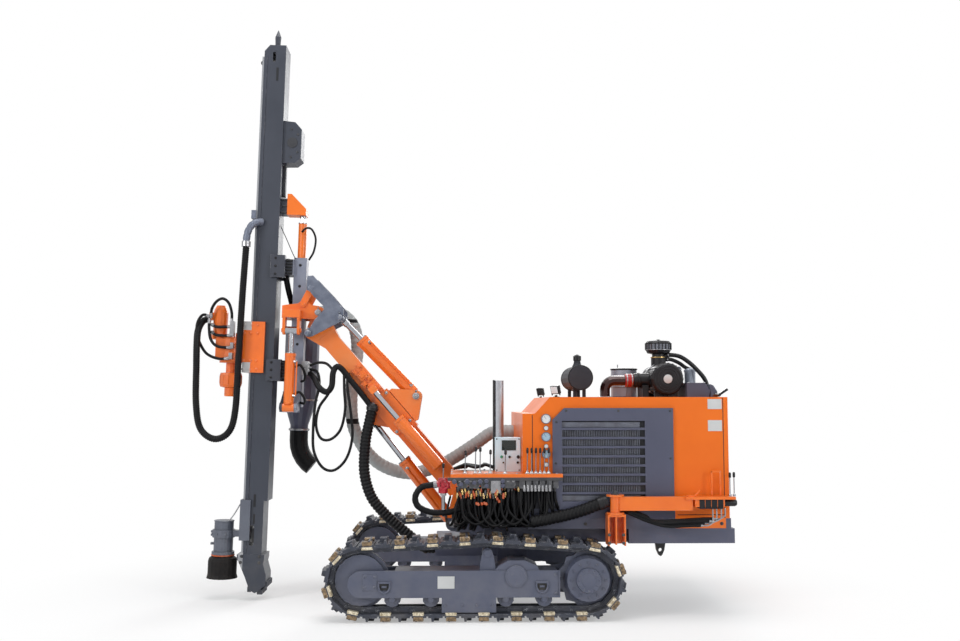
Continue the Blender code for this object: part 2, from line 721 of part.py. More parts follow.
def build_house():
    inside = house_outline(WALL)
    inside[0] = (inside[0][0], HOUSE_BOTTOM - 0.05)
    inside[1] = (inside[1][0], HOUSE_BOTTOM - 0.05)
    cuts = [prism(inside, "y", -BODY_HALF + WALL, BODY_HALF - WALL),
            box((SLOT_FRONT - 0.03, SLOT_REAR + 0.03), (-BODY_HALF - 0.1, BODY_HALF + 0.1), (0.95, SLOT_TOP + 0.03))]
    shell = fuse([prism(house_outline(), "y", -BODY_HALF, BODY_HALF)], cuts)
    node("engine_house", "orange_paint", "root", [shell])
    outline = [(GRILLE_FRONT, GRILLE_BOTTOM + 0.05), (GRILLE_FRONT + 0.04, GRILLE_BOTTOM),
               (GRILLE_REAR, GRILLE_BOTTOM), (GRILLE_REAR, GRILLE_TOP), (GRILLE_FRONT + 0.10, GRILLE_TOP),
               (GRILLE_FRONT, GRILLE_TOP - 0.10)]
    for side, name in ((-1, "left"), (1, "right")):
        near, far = sorted((side * (BODY_HALF + TOUCH), side * (BODY_HALF + GRILLE_THICK)))
        slots = [box((SLOT_FRONT, SLOT_REAR), (near - 0.01, far + 0.01),
                     (SLOT_TOP - i * SLOT_PITCH - SLOT_HEIGHT, SLOT_TOP - i * SLOT_PITCH))
                 for i in range(SLOTS)]
        node("grille_" + name, "slate_paint", "root", [prism(outline, "y", near, far)], slots)
    core_half = BODY_HALF - WALL - TOUCH
    node("engine_block", "dark_steel", "root",
         [box((0.80, 1.75), (-0.42, 0.42), (HOUSE_BOTTOM + TOUCH, 1.52)),
          box((SLOT_FRONT - 0.05, SLOT_REAR + 0.02), (-core_half, -core_half + 0.10),
              (HOUSE_BOTTOM + TOUCH, SLOT_TOP + 0.08)),
          box((1.00, 1.20), (-core_half + 0.05, -0.40), (1.00, 1.40))])


def build_roof():
    top = HOUSE_TOP + TOUCH
    centre = Vector((0.972, -0.45, 2.033))
    muffler = [turned([(0.0, 0.105), (0.012, 0.112), (0.598, 0.112), (0.61, 0.105)], centre, ACROSS, 16),
               turned([(0.0, 0.070), (0.075, 0.034), (0.100, 0.030), (0.130, 0.034)],
                      Vector((0.972, -0.20, 2.095)), UP, 12)]
    for y in (-0.36, 0.07):
        muffler.append(box((0.915, 0.945), (y, y + 0.03), (top, 1.97)))
        muffler.append(box((1.000, 1.030), (y, y + 0.03), (top, 1.97)))
    node("muffler", "black_plastic", "root", muffler)
    cleaner = Vector((1.757, -0.50, 2.020))
    shapes = [turned([(0.0, 0.075), (0.004, 0.132), (0.022, 0.147), (0.30, 0.147), (0.31, 0.152),
                      (0.33, 0.152), (0.34, 0.140), (0.62, 0.140), (0.65, 0.120)], cleaner, ACROSS, 16)]
    neck = Vector((1.745, -0.14, 2.120))
    shapes.append(turned([(0.0, 0.070), (0.10, 0.070), (0.115, 0.060), (0.140, 0.060), (0.150, 0.105),
                          (0.180, 0.120), (0.245, 0.120), (0.262, 0.105)], neck, UP, 14))
    for y in (-0.42, 0.02):
        shapes.append(box((1.65, 1.86), (y, y + 0.04), (top, 1.93)))
    node("air_cleaner", "black_plastic", "root", shapes)
    bend = Vector((1.300, -0.30, 1.925))
    route = [Vector((1.215, -0.30, top)), Vector((1.215, -0.30, 1.925))]
    for degrees in (15, 30, 45, 60, 75, 90):
        angle = math.radians(degrees)
        route.append(bend + Vector((-0.085 * math.cos(angle), 0.0, 0.085 * math.sin(angle))))
    route.append(Vector((1.6180, -0.30, 2.010)))
    elbow = [pipe(route, 0.046, 10),
             rod(Vector((1.400, -0.30, 2.010)), Vector((1.470, -0.30, 2.010)), 0.056, 12)]
    node("intake_pipe", "brown_pipe", "root", elbow,
         [rod(Vector((1.757, -0.6, 2.020)), Vector((1.757, 0.4, 2.020)), 0.147 + TOUCH, 16)])
    plate = 0.006
    above = top + plate - 0.001
    tray = [box((1.330, 1.620), (0.000, 0.260), (top, top + plate)),
            box((1.600, 2.130), (0.140, 0.250), (top, top + plate)),
            box((1.925, 2.120), (-0.520, 0.250), (top, top + plate))]
    tray.append(turned([(0.0, 0.125), (0.205, 0.125), (0.230, 0.110), (0.231, 0.05), (0.260, 0.05)],
                       Vector((1.462, 0.130, above)), UP, 16))
    tray.append(prism([(1.925, above), (2.120, above), (2.135, 1.915), (2.085, 1.985), (1.925, 1.985)],
                      "y", -0.52, 0.10))
    tray.append(turned([(0.0, 0.045), (0.135, 0.045), (0.136, 0.062), (0.280, 0.062), (0.295, 0.050)],
                       Vector((1.975, 0.195, above)), UP, 12))
    node("roof_tray", "slate_paint", "root", tray)


# Control deck

def build_deck():
    near_rear = BODY_HALF + GRILLE_THICK + RUNNING
    low, high = DECK_TOP - DECK_THICK, DECK_TOP
    front = HOUSE_FRONT - TOUCH
    plate = [(DECK_FRONT, DECK_OUTER), (DECK_REAR, DECK_OUTER), (DECK_REAR, -near_rear),
             (front, -near_rear), (front, DECK_INNER), (DECK_FRONT, DECK_INNER)]
    shapes = [prism(plate, "z", low, high),
              box((DECK_FRONT, DECK_REAR), (DECK_OUTER, DECK_OUTER + 0.006), (low - 0.025, high)),
              box((DECK_FRONT, DECK_FRONT + 0.006), (DECK_OUTER, DECK_INNER), (low - 0.09, high)),
              prism([(front, low + 0.01), (front, 0.90), (front - 0.03, 0.90), (DECK_FRONT + 0.1, low + 0.01)],
                    "y", DECK_INNER - 0.012, DECK_INNER)]
    valve = Vector((DECK_FRONT - 0.065, DECK_OUTER + 0.085, DECK_TOP - 0.090))
    shapes += [rod(valve, valve + Vector((0.068, 0.0, 0.0)), 0.038),
               rod(valve - Vector((0.055, 0.0, 0.0)), valve + Vector((0.01, 0.0, 0.0)), 0.028),
               rod(valve - UP * 0.075, valve + UP * 0.052, 0.040)]
    node("control_deck", "orange_paint", "root", shapes)
    beneath = low - TOUCH
    outer, inner = DECK_OUTER + 0.012, -near_rear - 0.004
    banks = [box((-0.150, 0.720), (outer + 0.006, inner), (beneath - 0.030, beneath)),
             box((-0.150, 0.350), (outer + 0.006, outer + 0.16), (beneath - 0.075, beneath))]
    for x0, x1, count, depth in ((-0.150, 0.350, 5, 0.16), (0.375, 0.720, 6, inner - outer)):
        width = (x1 - x0) / count
        for i in range(count):
            left = x0 + width * i + 0.008
            banks.append(box((left, left + width - 0.016), (outer, outer + depth - 0.002),
                             (beneath - 0.095, beneath - 0.010)))
    node("valve_banks", "dark_steel", "root", banks)
    node("control_box", "white_paint", "root",
         [box((0.190, HOUSE_FRONT - RUNNING), (-0.68, -0.52), (DECK_TOP + TOUCH, 1.500))],
         [box((0.245, 0.372), (-0.70, -0.672), (1.388, 1.478))])
    mast_tube = Vector((0.232, -0.45, DECK_TOP + TOUCH))
    node("sight_tube", "silver", "root",
         [rod(mast_tube, mast_tube + UP * 0.80, 0.0415, 16),
          box((0.176, 0.192), (-0.475, -0.425), (DECK_TOP + TOUCH, 2.01)),
          box((0.176, 0.260), (-0.46, -0.44), (1.24, 1.27)),
          box((0.176, 0.260), (-0.46, -0.44), (1.94, 1.97))])


# Boom

def build_seat():
    sleeve_bottom = SEAT_BOTTOM
    inner, outer = SEAT_PLATE_Y, SEAT_PLATE_Y + SEAT_PLATE
    shapes = [rod(Vector((POST_X, 0, sleeve_bottom)), Vector((POST_X, 0, SEAT_TOP)), 0.115, 20)]
    cheek = hull([(FOOT.x, FOOT.z, 0.075), (LIFT_BASE.x, LIFT_BASE.z, 0.065), (POST_X, 0.66, 0.085),
                  (POST_X, 0.94, 0.085)])
    for y in (-outer, inner):
        shapes.append(prism(cheek, "y", y, y + SEAT_PLATE))
    shapes.append(box((POST_X - 0.10, POST_X + 0.02), (-outer + 0.002, outer - 0.002), (0.60, 1.00)))
    shapes.append(cross_pin(FOOT, outer + 0.02, FOOT_PIN))
    shapes.append(cross_pin(LIFT_BASE, outer + 0.02, LIFT_PIN))
    bore = hole(Vector((POST_X, 0, 0.4)), Vector((POST_X, 0, 1.2)), POST_RADIUS, 20)
    node("boom_seat", "orange_paint", "boom_seat", shapes, [bore])


def eye(centre, outer, half, pin):
    """A round eye across the rig, and the cutter for its pin."""
    return cross_pin(centre, half, outer, 16), cross_hole(centre, pin)


def cylinder(name, paint, bodies, base, tip, sizes):
    """Barrel and rod between two pins; sizes name radii, eyes and lengths."""
    frame = aim(base, tip)
    length = (tip - base).length
    zero = Vector((0.0, 0.0, 0.0))
    end = UP * length
    barrel_eye, barrel_cut = eye(zero, sizes["eye"], sizes["base_half"], sizes["base_pin"])
    rod_eye = cross_pin(end, sizes["tip_half"], sizes["eye"] * 0.85, 16)
    neck, mouth = sizes["eye"] * 0.6, sizes["barrel_end"]
    shell = turned([(neck, sizes["barrel"] * 0.8), (neck + 0.02, sizes["barrel"]), (mouth - 0.03, sizes["barrel"]),
                    (mouth - 0.028, sizes["barrel"] * 1.06), (mouth, sizes["barrel"] * 1.06)], zero, UP, 16)
    bore = hole(UP * (neck + 0.05), UP * (mouth + 0.1), sizes["rod"])
    node(name + "_barrel", paint, bodies[0], [barrel_eye, shell], [barrel_cut, bore], frame)
    shaft = rod(UP * sizes["rod_start"], UP * (length - sizes["eye"] * 0.4), sizes["rod"])
    collar = rod(UP * (length - sizes["eye"] * 1.5), UP * (length - sizes["eye"] * 0.3), sizes["rod"] * 1.25)
    node(name + "_rod", "chrome", bodies[1], [shaft, collar, rod_eye], frame=frame)


def build_boom():
    frame = boom_frame()
    half, low, high = OUTER_HALF_WIDTH, OUTER_LOW, OUTER_HIGH
    gap = BOOM_WALL
    sleeve = half + SLEEVE_PLATE
    adds = [box((0.05, MOUTH), (-half, half), (low, high)),
            prism([(SLEEVE_START, low - 0.004), (SLEEVE_START + 0.05, low - SLEEVE_PLATE), (MOUTH, low - SLEEVE_PLATE),
                   (MOUTH, high + SLEEVE_PLATE), (SLEEVE_START - 0.05, high + SLEEVE_PLATE),
                   (SLEEVE_START - 0.05, high - 0.02), (SLEEVE_START, high - 0.03)], "y", -sleeve, sleeve),
            cross_pin(Vector((0, 0, 0)), SEAT_PLATE_Y - TOUCH, 0.065, 16),
            prism([(0.0, -0.063), (0.12, low), (0.12, high), (0.0, 0.063)], "y", -half, half)]
    lug = hull([(LIFT_EYE_U, LIFT_EYE_V, 0.048), (0.93, low - 0.01, 0.02), (1.16, low - 0.01, 0.03)])
    for y in (-LIFT_EYE_HALF - 0.020, LIFT_EYE_HALF):
        adds.append(prism(lug, "y", y, y + 0.020))
    adds += pin_heads(Vector((LIFT_EYE_U, 0, LIFT_EYE_V)), ACROSS, LIFT_EYE_HALF, LIFT_EYE_HALF + 0.033, LIFT_PIN)
    barrel_start, barrel_end = 0.32, 0.915
    side_y = SIDE_CYLINDER_Y
    barrel = turned([(0.0, 0.045), (0.02, SIDE_CYLINDER_RADIUS), (barrel_end - barrel_start - 0.03, SIDE_CYLINDER_RADIUS),
                     (barrel_end - barrel_start - 0.028, SIDE_CYLINDER_RADIUS + 0.004),
                     (barrel_end - barrel_start, SIDE_CYLINDER_RADIUS + 0.004)],
                    Vector((barrel_start, side_y, SIDE_CYLINDER_V)), Vector((1, 0, 0)), 14)
    adds.append(barrel)
    adds.append(box((barrel_start + 0.03, barrel_start + 0.12), (half - 0.01, side_y), (-0.03, 0.04)))
    adds.append(box((barrel_end - 0.14, barrel_end - 0.03), (half - 0.01, side_y), (-0.04, 0.05)))
    rod_radius = 0.025
    cuts = [box((0.16, MOUTH + 0.1), (-half + gap, half - gap), (low + gap, high - gap)),
            box((SLEEVE_START - 0.06, MOUTH + 0.1), (-0.028, 0.028), (0.0, high + 0.1)),
            cross_hole(Vector((0, 0, 0)), FOOT_PIN),
            box((-0.10, 0.10), (-0.030, 0.030), (-0.2, -0.071)),
            hole(Vector((barrel_start + 0.05, side_y, SIDE_CYLINDER_V)),
                 Vector((barrel_end + 0.1, side_y, SIDE_CYLINDER_V)), rod_radius)]
    node("boom_outer", "orange_paint", "boom", adds, cuts, frame)

    inner_half = half - gap - PLAY
    inner_low, inner_high = low + gap + PLAY, high - gap - PLAY
    a_u, a_v = boom_uv(TILT_AXIS)
    b_u, b_v = boom_uv(ROCKER_AXIS)
    head = hull([(a_u, a_v, 0.060), (b_u, b_v, 0.045), (INNER_END - 0.10, inner_high - 0.01, 0.01),
                 (INNER_END - 0.10, inner_low + 0.01, 0.01)])
    adds = [box((INNER_TAIL, INNER_END), (-inner_half, inner_half), (inner_low, inner_high)),
            prism(head, "y", -HEAD_HALF, HEAD_HALF)]
    lug = hull([(TILT_BASE_U, TILT_BASE_V, 0.055), (1.16, inner_high + 0.02, 0.02),
                (TILT_BASE_U - 0.16, inner_high + 0.02, 0.02)])
    adds.append(prism(lug, "y", -0.025, 0.025))
    cheek_low = OUTER_HIGH + SLEEVE_PLATE + RUNNING
    cheek = hull([(TILT_BASE_U, TILT_BASE_V, 0.055), (1.15, cheek_low + 0.02, 0.02),
                  (TILT_BASE_U - 0.16, cheek_low + 0.02, 0.02)])
    for y in (-0.090, 0.070):
        adds.append(prism(cheek, "y", y, y + 0.020))
    adds.append(box((TILT_BASE_U - 0.15, 1.16), (-0.089, 0.089), (cheek_low, cheek_low + 0.022)))
    adds.append(cross_pin(Vector((TILT_BASE_U, 0, TILT_BASE_V)), 0.102, HEAD_PIN))
    anchor = box((1.235, 1.30), (inner_half - 0.01, side_y + 0.035), (SIDE_CYLINDER_V - 0.035, SIDE_CYLINDER_V + 0.035))
    adds.append(anchor)
    notch = box((TILT_BASE_U - 0.075, TILT_BASE_U + 0.30), (-0.0695, 0.0695), (TILT_BASE_V - 0.085, 0.6))
    cuts = [notch,
            cross_hole(Vector((a_u, 0, a_v)), HEAD_PIN),
            cross_hole(Vector((b_u, 0, b_v)), HEAD_PIN)]
    pin = adds.pop(-2)
    body = fuse(adds, cuts)
    shaft = rod(Vector((barrel_start + 0.10, side_y, SIDE_CYLINDER_V)),
                Vector((1.240, side_y, SIDE_CYLINDER_V)), rod_radius)
    node("boom_inner", "orange_paint", "boom_inner", [body, pin, shaft], frame=frame)


def build_cylinders():
    cylinder("lift", "orange_paint", ("lift_barrel", "lift_rod"), LIFT_BASE, boom_point(LIFT_EYE_U, LIFT_EYE_V),
             {"eye": 0.055, "base_half": 0.090, "base_pin": LIFT_PIN, "tip_half": LIFT_EYE_HALF - TOUCH,
              "barrel": 0.062, "barrel_end": 0.735, "rod": 0.026, "rod_start": 0.30})
    cylinder("tilt", "orange_paint", ("tilt_barrel", "tilt_rod"), boom_point(TILT_BASE_U, TILT_BASE_V), ROD_EYE,
             {"eye": 0.052, "base_half": 0.069, "base_pin": HEAD_PIN, "tip_half": ROD_EYE_HALF - TOUCH,
              "barrel": 0.065, "barrel_end": 0.745, "rod": 0.026, "rod_start": 0.36})


# Head linkage

def build_linkage():
    b, c, d = ROCKER_AXIS, ROD_EYE, LINK_TOP
    outline = [(b.x - 0.034, b.z + 0.012), (b.x - 0.030, b.z - 0.022), (b.x - 0.004, b.z - 0.036),
               (b.x + 0.040, b.z - 0.030), (c.x + 0.010, c.z - 0.038), (c.x + 0.036, c.z - 0.012),
               (c.x + 0.036, c.z + 0.078), (c.x - 0.085, c.z + 0.222), (d.x + 0.020, d.z + 0.116),
               (d.x - 0.034, d.z + 0.112), (d.x - 0.036, d.z - 0.020), (d.x - 0.008, d.z - 0.034),
               (d.x + 0.028, d.z - 0.080), (d.x + 0.118, d.z - 0.170), (d.x + 0.126, d.z - 0.200),
               (b.x + 0.058, b.z + 0.118), (b.x + 0.020, b.z + 0.050)]
    inner = ROCKER_PLATE_Y
    outer = inner + ROCKER_PLATE
    shapes = []
    for y in (-outer, inner):
        shapes.append(prism(outline, "y", y, y + ROCKER_PLATE))
    shapes.append(cross_pin(b, outer + 0.012, HEAD_PIN))
    shapes += pin_heads(c, ACROSS, inner + 0.002, outer + 0.012, HEAD_PIN)
    for side in (-1, 1):
        near, far = ACROSS * side * (HEAD_HALF + PLAY), ACROSS * side * (inner + 0.002)
        shapes.append(rod(b + near, b + far, 0.030))
        near = ACROSS * side * ROD_EYE_HALF
        shapes.append(rod(c + near, c + far, 0.034))
        stub_inner = ACROSS * side * (LINK_PLATE_Y - 0.002)
        shapes.append(rod(d + stub_inner, d + far, HEAD_PIN - 0.006))
    node("rocker", "pale_steel", "rocker", shapes)
    low = LINK_LOW
    for side, name in ((-1, "left"), (1, "right")):
        near, far = sorted((side * LINK_PLATE_Y, side * (LINK_PLATE_Y + LINK_PLATE)))
        plate = prism(hull([(d.x, d.z, 0.030), (low.x, low.z, 0.030)], 12), "y", near, far)
        head = rod(low + ACROSS * side * (LINK_PLATE_Y + 0.004), low + ACROSS * side * (LINK_PLATE_Y + 0.026), 0.018)
        node("rocker_link_" + name, "orange_paint", "rocker_link", [plate, head], [cross_hole(d, HEAD_PIN - 0.006)])


def build_arm():
    """The tilt arm boxes the cradle in, with the roll pin along the rig."""
    lean = mast_frame()
    front, rear = -1.785, -1.545
    a = TILT_AXIS
    inner, outer = ARM_PLATE_Y, ARM_PLATE_Y + ARM_PLATE
    back = lean.inverted() @ LINK_LOW
    cheek = [(front, 2.590), (-1.600, 2.585), (a.x + 0.010, a.z - 0.062), (a.x + 0.045, a.z - 0.042),
             (a.x + 0.062, a.z), (a.x + 0.045, a.z + 0.042), (a.x + 0.005, a.z + 0.062),
             (a.x - 0.060, a.z + 0.070), (back.x + 0.040, back.z + 0.026), (back.x - 0.015, back.z + 0.032),
             (back.x - 0.050, back.z + 0.008), (front + 0.03, 2.712), (front, 2.705)]
    shapes = []
    for y in (-outer, inner):
        shapes.append(prism(cheek, "y", y, y + ARM_PLATE))
    shapes.append(box((front, CRADLE_FRONT - RUNNING), (-inner - 0.002, inner + 0.002), (2.592, 2.704)))
    shapes.append(box((CRADLE_REAR + RUNNING, rear), (-inner - 0.002, inner + 0.002), (2.600, 2.700)))
    shapes.append(rod(Vector((front + 0.01, 0, ROLL_Z)), Vector((rear - 0.01, 0, ROLL_Z)), ROLL_PIN, 16))
    shapes.append(cross_pin(a, outer + 0.012, HEAD_PIN))
    for side in (-1, 1):
        shapes.append(rod(a + ACROSS * side * (HEAD_HALF + PLAY), a + ACROSS * side * (inner + 0.002), 0.045))
        start = Vector((back.x, side * (outer - 0.002), back.z))
        end = Vector((back.x, side * (LINK_PLATE_Y - TOUCH), back.z))
        shapes.append(rod(start, end, 0.026))
    cx, cy, top = ROLL_CYLINDER_X, ROLL_CYLINDER_Y, ROLL_CYLINDER_HIGH
    for x in (cx - 0.080, cx + 0.054):
        shapes.append(prism(hull([(cy, top, 0.042), (cy + 0.02, 2.62, 0.03), (cy - 0.03, 2.62, 0.02)], 12),
                            "x", x, x + 0.026))
    shapes.append(box((cx - 0.085, cx + 0.080), (cy - 0.050, -inner - 0.002), (2.588, 2.660)))
    shapes += pin_heads(Vector((cx, cy, top)), Vector((1, 0, 0)), 0.056, 0.092, HEAD_PIN - 0.004)
    node("tilt_arm", "orange_paint", "tilt_arm", shapes, frame=lean)


# Mast

def build_cradle():
    lean = mast_frame()
    front, rear, half = CRADLE_FRONT, CRADLE_REAR, CRADLE_HALF
    x, y = COMPENSATOR_X, 0.0
    shapes = [box((front, rear), (-half, half), (CRADLE_BOTTOM, CRADLE_TOP))]
    shapes.append(rod(Vector((x, y, CRADLE_TOP - 0.02)), Vector((x, y, COMPENSATOR_TOP)), COMPENSATOR_RADIUS, 16))
    for low, high in ((2.970, 3.180), (2.000, 2.200)):
        shapes.append(box((MAST_REAR + 0.045, front + 0.002), (-0.095, 0.095), (low + 0.03, high - 0.03)))
        for side in (-1, 1):
            near, far = sorted((side * 0.088, side * 0.1595))
            shapes.append(box((MAST_REAR + 0.045, MAST_REAR + 0.075), (near, far), (low, high)))
            claw = sorted((side * (MAST_HALF + PLAY), side * 0.1595))
            shapes.append(box((MAST_REAR - 0.060, MAST_REAR + 0.046), tuple(claw), (low, high)))
    cx, cy, low = ROLL_CYLINDER_X, ROLL_CYLINDER_Y, ROLL_CYLINDER_LOW
    shapes.append(box((cx - 0.080, cx + 0.080), (-half - 0.014, -half + 0.002), (low - 0.045, low + 0.150)))
    for px in (cx - 0.080, cx + 0.054):
        shapes.append(prism([(-half + 0.002, low + 0.14), (-half + 0.002, low - 0.02), (cy - 0.01, low - 0.042),
                             (cy - 0.042, low), (cy - 0.03, low + 0.035), (cy + 0.02, low + 0.05)], "x", px, px + 0.026))
    shapes.append(rod(Vector((cx - 0.085, cy, low)), Vector((cx + 0.085, cy, low)), HEAD_PIN - 0.004))
    shapes.append(box((-1.700, -1.620), (half - 0.002, 0.3095), (2.15, 2.23)))
    cuts = [hole(Vector((front - 0.3, 0, ROLL_Z)), Vector((rear + 0.1, 0, ROLL_Z)), ROLL_PIN, 16),
            hole(Vector((x, y, 2.72)), Vector((x, y, 4.0)), 0.020)]
    node("cradle", "pale_steel", "cradle", shapes, cuts, lean)
    c = Vector((-1.680, 0.480, 2.50))
    profile = [(0.0, 0.100), (0.005, 0.170), (0.03, 0.170), (0.66, 0.170), (0.92, 0.088), (0.95, 0.088),
               (0.951, 0.098), (0.975, 0.098)]
    node("cyclone", "slate_paint", "cradle",
         [turned(profile, c, -UP, 16), rod(c + Vector((-0.10, -0.02, -0.10)), c + Vector((-0.10, -0.02, 0.03)), 0.055)],
         frame=lean)
    boot_top = c - UP * (0.975 + TOUCH)
    bend = boot_top + Vector((0.300, 0.0, -0.090))
    drop = [boot_top]
    for degrees in (0, 12, 24, 36, 48, 58):
        angle = math.radians(degrees)
        drop.append(bend + Vector((-0.300 * math.cos(angle), 0.0, -0.300 * math.sin(angle))))
    node("cyclone_boot", "black_rubber", "cradle", [pipe(drop, 0.090, 16)], frame=lean)


def build_roll_cylinder():
    lean = mast_frame()
    cx, cy, low, high = ROLL_CYLINDER_X, ROLL_CYLINDER_Y, ROLL_CYLINDER_LOW, ROLL_CYLINDER_HIGH
    along = Vector((1, 0, 0))
    base, tip = Vector((cx, cy, low)), Vector((cx, cy, high))
    barrel = turned([(0.030, 0.040), (0.045, 0.048), (0.470, 0.048), (0.472, 0.052), (0.500, 0.052)], base, UP, 14)
    base_eye = rod(base - along * 0.0535, base + along * 0.0535, 0.040)
    cuts = [hole(base - along * 0.2, base + along * 0.2, HEAD_PIN - 0.004),
            hole(base + UP * 0.09, base + UP * 0.6, 0.025)]
    node("roll_barrel", "orange_paint", "roll_barrel", [barrel, base_eye], cuts, lean)
    tip_eye = rod(tip - along * 0.0535, tip + along * 0.0535, 0.036)
    shaft = rod(base + UP * 0.20, tip - UP * 0.01, 0.025)
    node("roll_rod", "chrome", "roll_rod", [shaft, tip_eye], frame=lean)


def build_mast():
    lean = mast_frame()
    half = MAST_HALF
    outline = [(MAST_REAR - 0.035, MAST_BOTTOM), (MAST_REAR - 0.035, 0.890), (MAST_REAR, 0.890),
               (MAST_REAR, MAST_TOP), (MAST_FRONT + 0.05, MAST_TOP), (MAST_FRONT, MAST_TOP - 0.06),
               (MAST_FRONT, MAST_BOTTOM)]
    shapes = [prism(outline, "y", -half, half)]
    for side in (-1, 1):
        near, far = sorted((side * (half - 0.045), side * (half + 0.006)))
        shapes.append(box((RAIL_FRONT, MAST_FRONT + 0.03), (near, far), (MAST_BOTTOM + 0.02, MAST_TOP - 0.12)))
    shapes.append(box((MAST_REAR - 0.005, MAST_REAR + 0.070), (-0.07, 0.07), (3.585, 3.735)))
    bracket = [(MAST_REAR + 0.060, 3.5785), (COMPENSATOR_X + 0.035, 3.5785), (COMPENSATOR_X + 0.035, 3.640),
               (MAST_REAR + 0.100, 3.780), (MAST_REAR + 0.060, 3.780)]
    shapes.append(prism(bracket, "y", -0.075, 0.075))
    shapes.append(rod(Vector((COMPENSATOR_X, 0, 2.80)), Vector((COMPENSATOR_X, 0, 3.60)), 0.020))
    case = [(MAST_REAR - 0.005, 4.070), (-1.730, 4.075), (-1.675, 4.120), (-1.675, 4.400), (-1.740, 4.470),
            (MAST_REAR - 0.005, 4.480)]
    shapes.append(prism(case, "y", -0.10, 0.10))
    shapes.append(turned([(0.0, 0.040), (0.022, 0.040), (0.023, 0.024), (0.122, 0.030), (0.192, 0.003)],
                         Vector((-1.955, 0.0, MAST_TOP - 0.002)), UP, 10))
    low = MAST_BOTTOM + 0.002
    foot = [(-2.110, low), (-1.860, low), (-1.860, low - 0.047), (-1.868, low - 0.082), (-1.838, low - 0.182),
            (-1.838, low - 0.272), (-1.905, low - 0.332), (-1.935, low - 0.347), (-1.985, low - 0.317),
            (-2.030, low - 0.202), (-2.095, low - 0.062), (-2.110, low - 0.047)]
    shapes.append(prism(foot, "y", -0.130, 0.130))
    cuts = [prism(hull([(-1.985, 0.500, 0.020), (-1.985, 0.650, 0.020)], 12), "y", -0.3, 0.3),
            prism(hull([(-1.960, 5.060, 0.015), (-1.960, 5.130, 0.015)], 12), "y", -0.3, 0.3)]
    node("mast_beam", "slate_paint", "mast", shapes, cuts, lean)


def build_hood():
    lean = mast_frame()
    axis = Vector((DRILL_X, 0.0, 0.0))
    top, bottom = 0.690, 0.370
    wrap = MAST_FRONT - 0.040
    shapes = [rod(axis + UP * bottom, axis + UP * top, 0.088, 20),
              rod(axis + UP * 0.540, axis + UP * 0.610, 0.104, 20),
              rod(axis + UP * 0.385, axis + UP * 0.410, 0.104, 20),
              box((DRILL_X + 0.05, wrap + 0.012), (-0.045, 0.045), (0.550, 0.605)),
              box((wrap, wrap + 0.014), (-0.150, 0.150), (0.530, 0.900))]
    for side in (-1, 1):
        near, far = sorted((side * (MAST_HALF + 0.006 + TOUCH), side * 0.150))
        shapes.append(box((wrap + 0.002, MAST_FRONT + 0.055), (near, far), (0.530, 0.900)))
    node("dust_hood", "slate_paint", "mast", shapes, [rod(axis, axis + UP, 0.074, 20)], lean)
    skirt_top = bottom - TOUCH
    outside = [(0.0, 0.100), (0.020, 0.125), (0.045, 0.132), (0.165, 0.132), (0.200, 0.142)]
    hollow = [(-0.010, 0.078), (0.022, 0.078), (0.050, 0.124), (0.165, 0.124), (0.210, 0.136)]
    node("hood_skirt", "black_rubber", "mast", [turned(outside, axis + UP * skirt_top, -UP, 20)],
         [turned(hollow, axis + UP * skirt_top, -UP, 20)], lean)


def build_head():
    lean = mast_frame()
    low, high = 2.070, 2.546
    reach = MAST_FRONT + 0.040
    shapes = [box((RAIL_FRONT - 0.060, RAIL_FRONT - 0.020), (-0.160, 0.160), (low, high))]
    for side in (-1, 1):
        near, far = sorted((side * (MAST_HALF + 0.006 + PLAY), side * 0.162))
        shapes.append(box((RAIL_FRONT - 0.058, reach + 0.080), (near, far), (low, high)))
    shapes.append(box((RAIL_FRONT - 0.150, RAIL_FRONT - 0.055), (-0.075, 0.075), (2.175, 2.440)))
    shapes.append(box((DRILL_X - 0.134, RAIL_FRONT - 0.100), (-0.100, 0.100), (2.200, 2.385)))
    shapes.append(rod(Vector((DRILL_X, 0, 2.160)), Vector((DRILL_X, 0, 2.400)), 0.112, 16))
    motor = Vector((DRILL_X - 0.119, 0.0, 2.380))
    shapes.append(turned([(0.0, 0.085), (0.045, 0.085), (0.050, 0.066), (0.250, 0.070), (0.280, 0.062),
                          (0.320, 0.040)], motor, UP, 14))
    shapes.append(box((motor.x - 0.10, motor.x + 0.02), (-0.045, 0.045), (2.56, 2.63)))
    node("drill_head", "orange_paint", "carriage", shapes, frame=lean)
    spin = Vector((DRILL_X, 0.0, 2.160 - TOUCH))
    chuck = [turned([(0.0, 0.050), (0.090, 0.050), (0.095, 0.098), (0.115, 0.104), (0.205, 0.104), (0.225, 0.096),
                     (0.235, 0.056), (0.305, 0.056), (0.315, 0.050)], spin, -UP, 12)]
    node("chuck", "orange_paint", "spindle", chuck, frame=lean)


# Console

